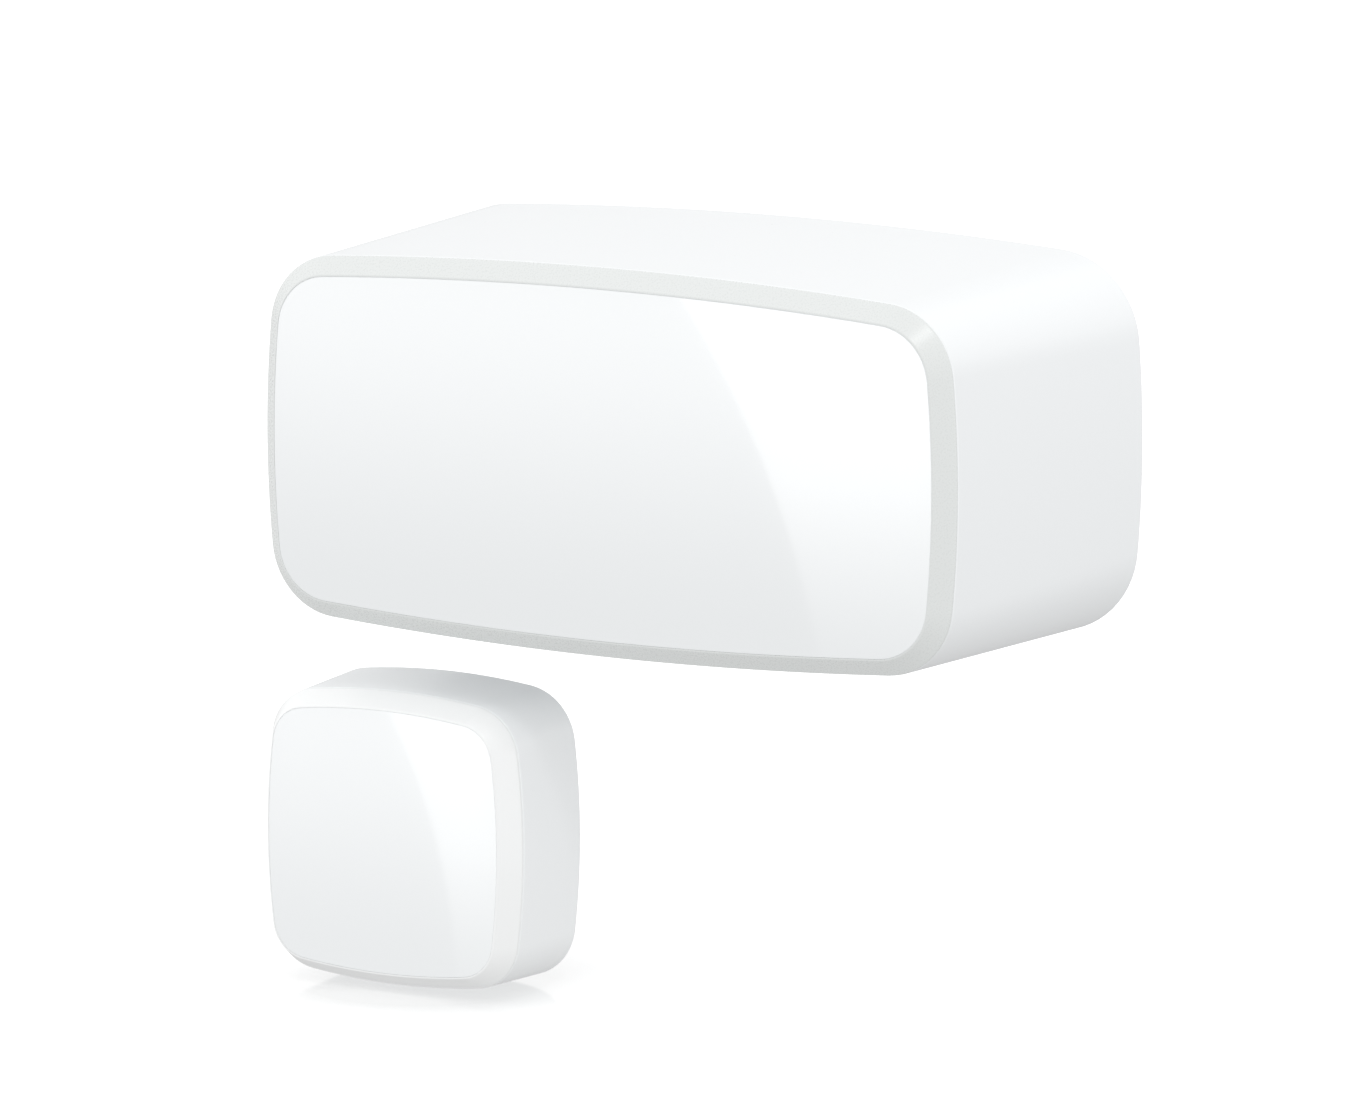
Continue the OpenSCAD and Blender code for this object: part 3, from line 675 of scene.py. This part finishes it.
@dataclass(frozen=True)
class Outline:
    """A rectangle with bowed sides and round corners, upright in the plane of the front panels."""

    centre: tuple[float, float]
    half_w: float
    half_h: float
    side_bulge: float
    top_bulge: float
    corner_r: float

    SIDE_STEPS = 8
    CORNER_STEPS = 14
    TOP_STEPS = 14
    SMALLEST_CORNER = 0.3 * MM

    def arcs(self, grow: float) -> list[tuple[Vector, float, int]]:
        """The arcs round the outline, anticlockwise from the middle of the right side.

        Args:
            grow: How far the outline is grown.

        Returns:
            Each arc's centre in x and z, its angle and its steps.
        """
        corner_r = max(self.corner_r, self.SMALLEST_CORNER - grow)
        side_r = (self.half_h**2 + self.side_bulge**2) / (2 * self.side_bulge)
        top_r = (self.half_w**2 + self.top_bulge**2) / (2 * self.top_bulge)
        side = Vector((self.half_w - side_r, 0))
        top = Vector((0, self.half_h - top_r))
        apart = (side - top).length
        along = ((top_r - corner_r) ** 2 - (side_r - corner_r) ** 2 + apart**2) / (2 * apart)
        across = math.sqrt((top_r - corner_r) ** 2 - along**2)
        step = (side - top).normalized()
        normal = Vector((-step.y, step.x))
        corner = max(
            (top + step * along + normal * sign * across for sign in (-1, 1)), key=lambda p: p.x + p.y
        )
        low = math.atan2((corner - side).y, (corner - side).x)
        high = math.atan2((corner - top).y, (corner - top).x)
        turn = high - low
        flat = math.pi - 2 * high
        steps = (self.SIDE_STEPS, self.CORNER_STEPS, self.TOP_STEPS)
        return [
            (side, low, steps[0]),
            (corner, turn, steps[1]),
            (top, flat, 2 * steps[2]),
            (Vector((-corner.x, corner.y)), turn, steps[1]),
            (Vector((-side.x, 0)), 2 * low, 2 * steps[0]),
            (-corner, turn, steps[1]),
            (Vector((0, -top.y)), flat, 2 * steps[2]),
            (Vector((corner.x, -corner.y)), turn, steps[1]),
            (side, low, steps[0]),
        ]

    def ring(self, bm: bmesh.types.BMesh, y: float, grow: float = 0.0) -> list[bmesh.types.BMEdge]:
        """Draws the closed outline by spinning a point round each arc in turn.

        Args:
            bm: The mesh to draw in.
            y: The plane's place along Y.
            grow: How far the outline is grown.

        Returns:
            The ring's edges.
        """
        x0, z0 = self.centre
        known = set(bm.edges)
        first = bm.verts.new((x0 + self.half_w + grow, y, z0))
        last = first
        for centre, angle, steps in self.arcs(grow):
            middle = (x0 + centre.x, y, z0 + centre.y)
            spun = bmesh.ops.spin(bm, geom=[last], cent=middle, axis=(0, -1, 0), angle=angle, steps=steps)
            last = next(item for item in spun["geom_last"] if isinstance(item, bmesh.types.BMVert))
        bmesh.ops.weld_verts(bm, targetmap={last: first})
        return [edge for edge in bm.edges if edge not in known]


@dataclass(frozen=True)
class Ring:
    """One ring of a skin: its outline, its depth and the rounding of its edge."""

    outline: Outline
    y: float
    grow: float
    round_w: float = 0.0
    segments: int = 3


def skin(rings: Sequence[Ring], closed: bool) -> bmesh.types.BMesh:
    """Bridges rings into a closed skin and rounds their edges.

    Each band is bridged between two rings of its own, and the bands are then welded.

    Args:
        rings: The rings in order.
        closed: Whether the last ring joins the first. Otherwise both ends are capped.

    Returns:
        The mesh.
    """
    bm = bmesh.new()
    number = bm.edges.layers.int.new("ring")

    def draw(index: int) -> list[bmesh.types.BMEdge]:
        """Draws one ring and numbers its edges from one."""
        edges = rings[index].outline.ring(bm, rings[index].y, rings[index].grow)
        for edge in edges:
            edge[number] = index + 1
        return edges

    for index in range(len(rings) - (not closed)):
        bmesh.ops.bridge_loops(bm, edges=draw(index) + draw((index + 1) % len(rings)))
    if not closed:
        for index in (0, len(rings) - 1):
            bmesh.ops.contextual_create(bm, geom=draw(index))
    bmesh.ops.remove_doubles(bm, verts=bm.verts[:], dist=WELD)
    bmesh.ops.recalc_face_normals(bm, faces=bm.faces[:])
    for index, ring in enumerate(rings):
        if ring.round_w:
            bevel(bm, [edge for edge in bm.edges if edge[number] == index + 1], ring.round_w, ring.segments)
    return bm


# ---------------------------------------------------------------- the two units' outsides


@dataclass
class UnitShell:
    """Housing, bezel and front panel of one unit, in metres. Places come from the CAD nodes."""

    prefix: str
    housing_node: str
    bezel_node: str
    panel_node: str
    shell_finish: Finish
    bezel_finish: Finish
    side_bulge: float
    top_bulge: float
    corner_r: float
    rear_corner_r: float
    bevel_w: float
    wall: float
    spigot: float
    edge_round: float
    ledge_w: float = 2.6 * MM
    land: float = 0.1 * MM
    parting: float = 0.1 * MM
    slack: float = 0.05 * MM
    film: float = 0.15 * MM
    hairline: float = 0.003 * MM
    seam_step: float = 0.02 * MM
    mouth_round: float = 0.18 * MM
    rim_round: float = 0.3 * MM
    floor_round: float = 0.25 * MM
    panel_round: float = 0.04 * MM

    def __post_init__(self) -> None:
        """Reads the unit's places from the CAD nodes."""
        low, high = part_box(self.housing_node)
        bezel_low, bezel_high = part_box(self.bezel_node)
        panel_low, panel_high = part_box(self.panel_node)
        self.centre = ((low.x + high.x) / 2, (low.z + high.z) / 2)
        self.y_front = bezel_low.y
        self.y_bevel = low.y - self.parting
        self.y_bezel_back = bezel_high.y
        self.y_panel = (panel_low.y, panel_high.y)
        self.y_film = panel_high.y + self.film
        self.y_rim = high.y
        self.panel_inset = self.bevel_w + self.land + self.hairline
        self.front = Outline(
            self.centre, (bezel_high.x - bezel_low.x) / 2, (bezel_high.z - bezel_low.z) / 2,
            self.side_bulge, self.top_bulge, self.corner_r,
        )
        self.rear = Outline(
            self.centre, (high.x - low.x) / 2, (high.z - low.z) / 2,
            self.side_bulge, self.top_bulge, self.rear_corner_r,
        )

    def at(self, y: float) -> Outline:
        """The outside outline at a depth.

        Args:
            y: The depth's place along Y.

        Returns:
            The outline.
        """
        share = (y - self.y_bevel) / (self.y_rim - self.y_bevel)
        return Outline(
            self.centre, between(self.front.half_w, self.rear.half_w, share),
            between(self.front.half_h, self.rear.half_h, share), self.side_bulge, self.top_bulge,
            between(self.corner_r, self.rear_corner_r, share),
        )

    def inside(self, y: float) -> Ring:
        """The inner wall's ring at a depth.

        Args:
            y: The depth's place along Y.

        Returns:
            The ring.
        """
        return Ring(self.at(y), y, -self.wall, self.floor_round)

    def housing_mesh(self, y_floor: float) -> bmesh.types.BMesh:
        """The shell, from the bezel's pocket round the outside to the floor inside.

        Args:
            y_floor: The floor's place along Y.

        Returns:
            The mesh.
        """
        y_edge = self.y_bevel + self.parting
        pocket = -(self.spigot - self.slack)
        return skin(
            [
                Ring(self.front, self.y_bezel_back, pocket),
                Ring(self.front, y_edge, pocket, Edge.CUT.value, 2),
                Ring(self.at(y_edge), y_edge, 0.0, self.mouth_round, 4),
                Ring(self.at(self.y_rim), self.y_rim, 0.0, self.rim_round, 5),
                Ring(self.at(self.y_rim), self.y_rim, -self.wall, Edge.MOULDED.value),
                self.inside(y_floor),
            ],
            closed=False,
        )

    def bezel_mesh(self) -> bmesh.types.BMesh:
        """The sloping ring with its spigot and the ledge that the panel is stuck to.

        Returns:
            The mesh.
        """
        y_seam = self.y_bevel + self.parting
        mouth = -(self.bevel_w + self.land)
        hole = mouth - self.ledge_w
        return skin(
            [
                Ring(self.front, self.y_front, -self.bevel_w, Edge.CUT.value),
                Ring(self.front, self.y_bevel, 0.0, self.edge_round, 4),
                Ring(self.front, y_seam, -self.seam_step),
                Ring(self.front, y_seam, -self.spigot),
                Ring(self.front, self.y_bezel_back, -self.spigot),
                Ring(self.front, self.y_bezel_back, hole),
                Ring(self.front, self.y_film, hole),
                Ring(self.front, self.y_film, mouth),
                Ring(self.front, self.y_front, mouth),
            ],
            closed=True,
        )

    def panel_mesh(self) -> bmesh.types.BMesh:
        """The glossy panel.

        Returns:
            The mesh.
        """
        return skin(
            [
                Ring(self.front, self.y_panel[1], -self.panel_inset),
                Ring(self.front, self.y_panel[0], -self.panel_inset, self.panel_round),
            ],
            closed=False,
        )

    def cut_out(self, bm: bmesh.types.BMesh) -> list[bmesh.types.BMesh]:
        """Shapes to cut out of the housing.

        Args:
            bm: The housing, which may also get closed shapes added.

        Returns:
            The shapes.
        """
        return []

    def build(self) -> None:
        """Makes the three pieces."""
        housing = self.housing_mesh(self.floor())
        for cutter in self.cut_out(housing):
            housing = subtract(housing, cutter)
        finish_piece(housing, f"{self.prefix}_shell", [self.housing_node], self.shell_finish)
        finish_piece(self.bezel_mesh(), f"{self.prefix}_bevel_ring", [self.bezel_node], self.bezel_finish)
        finish_piece(self.panel_mesh(), f"{self.prefix}_gloss_panel", [self.panel_node], WHITE_PANEL)

    def floor(self) -> float:
        """Where the housing's inner floor lies along Y."""
        raise NotImplementedError


class SensorShell(UnitShell):
    """The wide unit's outside, with bosses for the screws and a notch in the rim to lever it off by."""

    BOSS_H = 1.5 * MM
    BOSS_R = 1.6 * MM
    HEAD_R = 1.45 * MM
    FIRST_DROP = 1.2 * MM
    NOTCH = (7.0 * MM, 1.6 * MM, 2.0 * MM)
    NOTCH_ROUND = 0.2 * MM

    def cut_out(self, bm: bmesh.types.BMesh) -> list[bmesh.types.BMesh]:
        """Adds the three screw bosses, and gives the notch.

        Args:
            bm: The housing.

        Returns:
            The notch's block.
        """
        low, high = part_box("housing_screws")
        left, right = low.x + self.HEAD_R, high.x - self.HEAD_R
        bottom, top = low.z + self.HEAD_R, high.z - self.HEAD_R
        for place in ((left, top - self.FIRST_DROP), (right, top), (right, bottom)):
            peg(bm, place, self.BOSS_R, self.floor() - self.wall / 4, self.floor() + self.BOSS_H, Edge.SOFT)
        notch = bmesh.new()
        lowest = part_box(self.housing_node)[0].z
        place = Matrix.Translation((self.centre[0], self.y_rim, lowest))
        bmesh.ops.create_cube(notch, size=1.0, matrix=place @ Matrix.Diagonal((*self.NOTCH, 1.0)))
        deep = [edge for edge in notch.edges if abs(edge.verts[0].co.y - edge.verts[1].co.y) > WELD]
        bevel(notch, deep, self.NOTCH_ROUND)
        return [notch]

    def floor(self) -> float:
        """The floor lies a boss's height before the board."""
        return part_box("circuit_board")[0].y - self.BOSS_H


class MagnetShell(UnitShell):
    """The small unit's outside."""

    def floor(self) -> float:
        """The magnet rests on the floor."""
        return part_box("magnet_block")[0].y


# ---------------------------------------------------------------- pieces inside and behind


def rounded_copy(
    node: str, edge: Edge, segments: int = 3, sharper_than: float = 30.0, flatter_than: float = 0.4
) -> bmesh.types.BMesh:
    """A CAD node's shape with clean faces and rounded edges.

    Args:
        node: The CAD node's name.
        edge: How widely the edges are rounded.
        segments: Facets across a rounding.
        sharper_than: Edges turned by more than this many degrees are rounded.
        flatter_than: Facets turned by less than this many degrees become one face.

    Returns:
        The mesh.
    """
    bm = bmesh.new()
    bm.from_mesh(frame["nodes"][node].data)
    bmesh.ops.remove_doubles(bm, verts=bm.verts[:], dist=WELD)
    flat = math.radians(flatter_than)
    bmesh.ops.dissolve_limit(bm, angle_limit=flat, verts=bm.verts[:], edges=bm.edges[:])
    limit = math.radians(sharper_than)
    edges = [item for item in bm.edges if len(item.link_faces) == 2 and item.calc_face_angle() > limit]
    bevel(bm, edges, edge.value, segments)
    return bm


@dataclass(frozen=True)
class SubAssembly:
    """Pieces that keep their CAD shape. Each field names a piece and says how its edges are rounded."""

    def build(self) -> None:
        """Makes the pieces and dresses them in their slots' finishes."""
        for piece in fields(self):
            self.dress(rounded_copy(piece.name, getattr(self, piece.name)), piece.name)

    def dress(self, bm: bmesh.types.BMesh, node: str) -> None:
        """Finishes one piece.

        Args:
            bm: Its mesh.
            node: The CAD node that it stands for.
        """
        finish_piece(bm, f"{node}_finished", [node], SLOT_FINISH[NODE_SLOT[node]])


@dataclass(frozen=True)
class WallSide(SubAssembly):
    """What is stuck to the frame, and stays there when the sensor unit is pulled off."""

    base_plate: Edge = Edge.MOULDED
    sensor_adhesive_pad: Edge = Edge.SOFT


@dataclass(frozen=True)
class BoardParts(SubAssembly):
    """The board and all that is soldered to it."""

    circuit_board: Edge = Edge.FINE
    radio_shield: Edge = Edge.SOFT
    microcontroller: Edge = Edge.CUT
    crystal: Edge = Edge.CUT
    chip_antenna: Edge = Edge.CUT
    status_led: Edge = Edge.FINE
    bulk_capacitor: Edge = Edge.SOFT
    smd_capacitors: Edge = Edge.FINE
    smd_resistors: Edge = Edge.FINE
    test_pads: Edge = Edge.HAIR


@dataclass(frozen=True)
class ResetSwitch(SubAssembly):
    """The reset switch and its sprung button."""

    tact_switch_body: Edge = Edge.CUT
    reset_button: Edge = Edge.SOFT


@dataclass(frozen=True)
class ReedSwitch(SubAssembly):
    """The reed switch on its leads."""

    reed_glass: Edge = Edge.HAIR
    reed_leads: Edge = Edge.HAIR
    reed_fixed_blade: Edge = Edge.HAIR
    reed_moving_blade: Edge = Edge.HAIR


@dataclass(frozen=True)
class CellHolder(SubAssembly):
    """What holds the cell and carries its current."""

    cell_cradle: Edge = Edge.MOULDED
    housing_screws: Edge = Edge.CUT
    positive_contact: Edge = Edge.FINE
    negative_contact: Edge = Edge.FINE
    negative_spring: Edge = Edge.HAIR
    contact_solder: Edge = Edge.HAIR


@dataclass(frozen=True)
class Cell(SubAssembly):
    """The half-AA lithium cell."""

    cell_can: Edge = Edge.CUT
    cell_electrodes: Edge = Edge.FINE
    cell_cover: Edge = Edge.FINE
    cell_seal: Edge = Edge.FINE
    cell_terminal: Edge = Edge.CUT
    cell_sleeve: Edge = Edge.HAIR


@dataclass(frozen=True)
class PanelFilms(SubAssembly):
    """The films that hold both panels."""

    panel_adhesive: Edge = Edge.HAIR
    magnet_panel_adhesive: Edge = Edge.HAIR


@dataclass(frozen=True)
class MagnetInside(SubAssembly):
    """What the magnet unit holds, and what sticks it to the leaf."""

    magnet_block: Edge = Edge.MOULDED
    magnet_cushion: Edge = Edge.WORN
    magnet_back_plate: Edge = Edge.MOULDED
    magnet_adhesive_pad: Edge = Edge.SOFT


def dress_nodes() -> None:
    """Gives every CAD node the finish of its slot."""
    for name, node in frame["nodes"].items():
        node.data.materials.clear()
        node.data.materials.append(SLOT_FINISH[NODE_SLOT[name]].make())


# ---------------------------------------------------------------- studio


@dataclass(frozen=True)
class Lamp:
    """A square soft light that faces a point."""

    name: str
    place: tuple[float, float, float]
    aim: tuple[float, float, float]
    size: float
    power: float
    shadows: bool = True

    def build(self) -> None:
        """Hangs the lamp."""
        data = bpy.data.lights.new(self.name, "AREA")
        data.shape = "SQUARE"
        data.size = self.size
        data.energy = self.power
        data.use_shadow = self.shadows
        lamp = bpy.data.objects.new(self.name, data)
        place = Vector(self.place)
        turn = (place - Vector(self.aim)).to_track_quat("Z", "Y").to_matrix().to_4x4()
        lamp.matrix_world = Matrix.Translation(place) @ turn
        lamp.visible_camera = False
        bpy.context.scene.collection.objects.link(lamp)


@dataclass(frozen=True)
class Card:
    """A glowing card before one unit, seen only in gloss: bright above, dark below, with a lit patch.

    The patch lies outside a large circle, so its edge is a long curve across the panel. Its centre and
    radius are given on the panel, and the card lies where the panel mirrors it towards the viewer.
    """

    name: str
    unit: str
    low: float
    high: float
    patch: float
    patch_centre: tuple[float, float]
    patch_radius: float
    DISTANCE = 0.15
    MARGIN = 0.6 * MM
    PATCH_FADE = 0.4 * MM
    PATCH_LOWEST = 0.1

    def build(self, viewer: Vector) -> None:
        """Makes the card.

        Args:
            viewer: The place that the panel mirrors the card towards.
        """
        panel_low, panel_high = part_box(self.unit)
        spread = self.DISTANCE / (panel_low.y - viewer.y)
        margin = Vector((self.MARGIN, 0, self.MARGIN))
        low, high = (
            corner + (corner - viewer) * spread for corner in (panel_low - margin, panel_high + margin)
        )
        bm = bmesh.new()
        corner = bm.verts.new((low.x, panel_low.y - self.DISTANCE, low.z))
        side = bmesh.ops.extrude_vert_indiv(bm, verts=[corner])
        bmesh.ops.translate(bm, verts=side["verts"], vec=(high.x - low.x, 0, 0))
        face = bmesh.ops.extrude_edge_only(bm, edges=side["edges"])
        raised = [item for item in face["geom"] if isinstance(item, bmesh.types.BMVert)]
        bmesh.ops.translate(bm, verts=raised, vec=(0, 0, high.z - low.z))
        material = self.material(panel_low.z, panel_high.z, viewer, spread)
        stage_piece(bm, self.name, material, glossy_only=True)

    def material(self, low: float, high: float, viewer: Vector, spread: float) -> bpy.types.Material:
        """The card's glow.

        Args:
            low: The panel's lowest height.
            high: Its greatest height.
            viewer: The place that the panel mirrors the card towards.
            spread: How much further the card is than the panel, as a share of the viewer's distance.

        Returns:
            The material.
        """
        material = bpy.data.materials.new(self.name)
        material.use_nodes = True
        graph = Graph(material.node_tree)
        shrink = 1 / (1 + spread)
        moves = {"Location": viewer * spread * shrink, "Scale": (shrink, shrink, shrink)}
        on_panel = graph.add("ShaderNodeMapping", {}, {"Vector": graph.position(), **moves})
        place = graph.add("ShaderNodeSeparateXYZ", {}, {0: on_panel.outputs[0]})
        across = Value(graph, place.outputs["X"]) - self.patch_centre[0]
        above = Value(graph, place.outputs["Z"]) - self.patch_centre[1]
        inner, outer = (radius**2 for radius in (self.patch_radius, self.patch_radius + self.PATCH_FADE))
        shade = graph.ramp(place.outputs["Z"], low, high, self.low, self.high, "SMOOTHSTEP")
        outside = graph.ramp(across * across + above * above, inner, outer, 0.0, self.patch)
        fade = graph.ramp(place.outputs["Z"], low, (low + high) / 2, self.PATCH_LOWEST, 1.0)
        lit = graph.add("ShaderNodeEmission", {}, {"Strength": shade + outside * fade})
        graph.add("ShaderNodeOutputMaterial", {}, {"Surface": lit.outputs[0]})
        return material


def stage_piece(
    bm: bmesh.types.BMesh, name: str, material: bpy.types.Material, glossy_only: bool = False
) -> None:
    """Turns a mesh into a piece of the studio.

    Args:
        bm: The mesh, which is freed.
        name: The piece's name.
        material: Its material.
        glossy_only: Whether only glossy reflections show it.
    """
    mesh = bpy.data.meshes.new(name)
    bm.to_mesh(mesh)
    bm.free()
    mesh.materials.append(material)
    piece = bpy.data.objects.new(name, mesh)
    bpy.context.scene.collection.objects.link(piece)
    if glossy_only:
        for kind in ("camera", "diffuse", "shadow", "transmission", "volume_scatter"):
            setattr(piece, f"visible_{kind}", False)


@dataclass
class Studio:
    """Floor, lamps, reflected cards, surround and camera."""

    yaw: float = 0.5278438
    pitch: float = 0.1747164
    distance: float = 0.6865
    focal: float = 10864.85
    image_w: float = 1347.0
    sensor_mm: float = 36.0
    target: tuple[float, float, float] = (-0.00228, -0.0106, -0.0079)
    sky: float = 1.435
    ground: float = 0.97
    blend_from: float = -0.45
    blend_to: float = 0.35
    rear_from: float = 0.0
    rear_to: float = 0.8
    rear_share: float = 0.74
    floor_size: float = 4.0
    floor_glow: float = 0.42
    floor_tone: float = 0.83
    floor_gloss: float = 0.6
    gloss_reach: float = 24 * MM
    gloss_start: float = 8 * MM
    gloss_tone: float = 1.03
    gloss_roughness: float = 0.1
    grain_scale: float = 30.0
    grain_share: float = 0.995
    lamps: tuple[Lamp, ...] = (
        Lamp("rear_lamp", (0.15, 0.37, 0.23), (0.0, 0.0, 0.0), size=0.38, power=0.10),
        Lamp("corner_lamp", (0.15, -0.16, 0.26), (0.02, -0.02, 0.01), size=0.04, power=0.075),
        Lamp(
            "right_lamp", (0.33, -0.03, -0.03), (0.01, -0.01, -0.01), size=0.15, power=0.053, shadows=False
        ),
        Lamp("left_lamp", (-0.28, -0.10, 0.03), (0.0, -0.02, -0.01), size=0.12, power=0.09, shadows=False),
    )
    cards: tuple[Card, ...] = (
        Card(
            "sensor_card", "front_panel", low=0.5, high=2.3, patch=1.3,
            patch_centre=(-0.040, -0.023), patch_radius=0.0570,
        ),
        Card(
            "magnet_card", "magnet_panel", low=0.8, high=2.2, patch=1.1,
            patch_centre=(-0.0455, -0.035), patch_radius=0.0350,
        ),
    )

    def camera(self) -> Vector:
        """Places the camera.

        Returns:
            Its place.
        """
        level = Vector((math.sin(self.yaw), -math.cos(self.yaw), 0)) * math.cos(self.pitch)
        back = level + Vector((0, 0, math.sin(self.pitch)))
        right = Vector((math.cos(self.yaw), math.sin(self.yaw), 0))
        turn = Matrix((right, back.cross(right), back)).transposed().to_4x4()
        data = bpy.data.cameras.new("camera")
        data.lens = self.focal / self.image_w * self.sensor_mm
        data.sensor_width = self.sensor_mm
        data.clip_start = 0.01
        data.clip_end = 100.0
        camera = bpy.data.objects.new("camera", data)
        viewer = Vector(self.target) + back * self.distance
        camera.matrix_world = Matrix.Translation(viewer) @ turn
        bpy.context.scene.collection.objects.link(camera)
        bpy.context.scene.camera = camera
        return viewer

    def surround(self) -> None:
        """A white surround that is brighter above than below, and dimmer behind the object."""
        world = bpy.data.worlds.new("studio")
        world.use_nodes = True
        graph = Graph(world.node_tree)
        way = graph.add("ShaderNodeTexCoord").outputs["Generated"]
        place = graph.add("ShaderNodeSeparateXYZ", {}, {0: way})
        glow = graph.ramp(
            place.outputs["Z"], self.blend_from, self.blend_to, self.ground, self.sky, "SMOOTHSTEP"
        )
        dimmer = graph.ramp(place.outputs["Y"], self.rear_from, self.rear_to, 1.0, self.rear_share)
        shade = graph.add("ShaderNodeBackground", {}, {"Strength": glow * dimmer})
        graph.add("ShaderNodeOutputWorld", {}, {"Surface": shade.outputs[0]})
        bpy.context.scene.world = world

    def floor(self) -> None:
        """A white floor at the lowest point of the object, glossy only close before the magnet unit."""
        bm = bmesh.new()
        bmesh.ops.create_grid(bm, x_segments=1, y_segments=1, size=self.floor_size)
        bmesh.ops.translate(bm, verts=bm.verts[:], vec=(0, 0, CAD_BOX[0].z))
        material = bpy.data.materials.new("floor")
        material.use_nodes = True
        graph = Graph(material.node_tree)
        grain = graph.noise(self.grain_scale)
        tones = ([self.floor_tone * self.grain_share] * 3, [self.floor_tone] * 3)
        matt = graph.add(
            "ShaderNodeBsdfPrincipled",
            {},
            {
                "Base Color": graph.blend(grain, *tones),
                "Roughness": 0.9, "Specular IOR Level": 0.0,
                "Emission Color": (1.0, 1.0, 1.0, 1.0), "Emission Strength": self.floor_glow,
            },
        )
        mirrored = {"Color": (*[self.gloss_tone] * 3, 1.0), "Roughness": self.gloss_roughness}
        shine = graph.add("ShaderNodeBsdfGlossy", {}, mirrored)
        low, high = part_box("magnet_housing")
        away = graph.add(
            "ShaderNodeVectorMath", {"operation": "DISTANCE"}, {0: graph.position(), 1: (low + high) / 2}
        )
        drop = (high.z - low.z) / 2
        start, reach = (math.hypot(drop, radius) for radius in (self.gloss_start, self.gloss_reach))
        near = graph.ramp(away.outputs["Value"], start, reach, 1.0, 0.0)
        share = near * near * self.floor_gloss
        mixed = graph.add("ShaderNodeMixShader", {}, {0: share, 1: matt.outputs[0], 2: shine.outputs[0]})
        graph.add("ShaderNodeOutputMaterial", {}, {"Surface": mixed.outputs[0]})
        stage_piece(bm, "floor", material)
        floor = bpy.data.objects["floor"]
        floor.visible_diffuse = False
        floor.visible_glossy = False

    def build(self) -> None:
        """Makes everything."""
        bpy.context.scene.view_settings.view_transform = "Standard"
        viewer = self.camera()
        self.surround()
        self.floor()
        for lamp in self.lamps:
            lamp.build()
        for card in self.cards:
            card.build(viewer)


def main() -> None:
    """Builds each sub-assembly in order."""
    logging.basicConfig(level=logging.INFO, format="%(name)s: %(message)s")
    dress_nodes()
    SensorShell(
        prefix="sensor", housing_node="housing", bezel_node="front_bezel", panel_node="front_panel",
        shell_finish=WHITE_SHELL, bezel_finish=GREY_BEZEL, side_bulge=1.0 * MM, top_bulge=1.1 * MM,
        corner_r=4.8 * MM, rear_corner_r=5.9 * MM, bevel_w=1.1 * MM, wall=1.5 * MM, spigot=0.75 * MM,
        edge_round=0.16 * MM,
    ).build()
    MagnetShell(
        prefix="magnet", housing_node="magnet_housing", bezel_node="magnet_bezel",
        # The magnet unit's shell takes the copy of the white plastic that is painted lighter to make up for
        # its shade.
        panel_node="magnet_panel", shell_finish=MAGNET_SHELL_PAINTED_LIGHTER, bezel_finish=WHITE_BEZEL,
        side_bulge=0.95 * MM, top_bulge=0.95 * MM, corner_r=3.4 * MM, rear_corner_r=3.7 * MM,
        bevel_w=0.9 * MM, wall=1.3 * MM, spigot=0.6 * MM, edge_round=0.32 * MM,
    ).build()
    inner_parts = (
        WallSide, BoardParts, ResetSwitch, ReedSwitch, CellHolder, Cell, PanelFilms, MagnetInside,
    )
    for sub_assembly in inner_parts:
        sub_assembly().build()
    Studio().build()


if __name__ == "__main__":
    main()
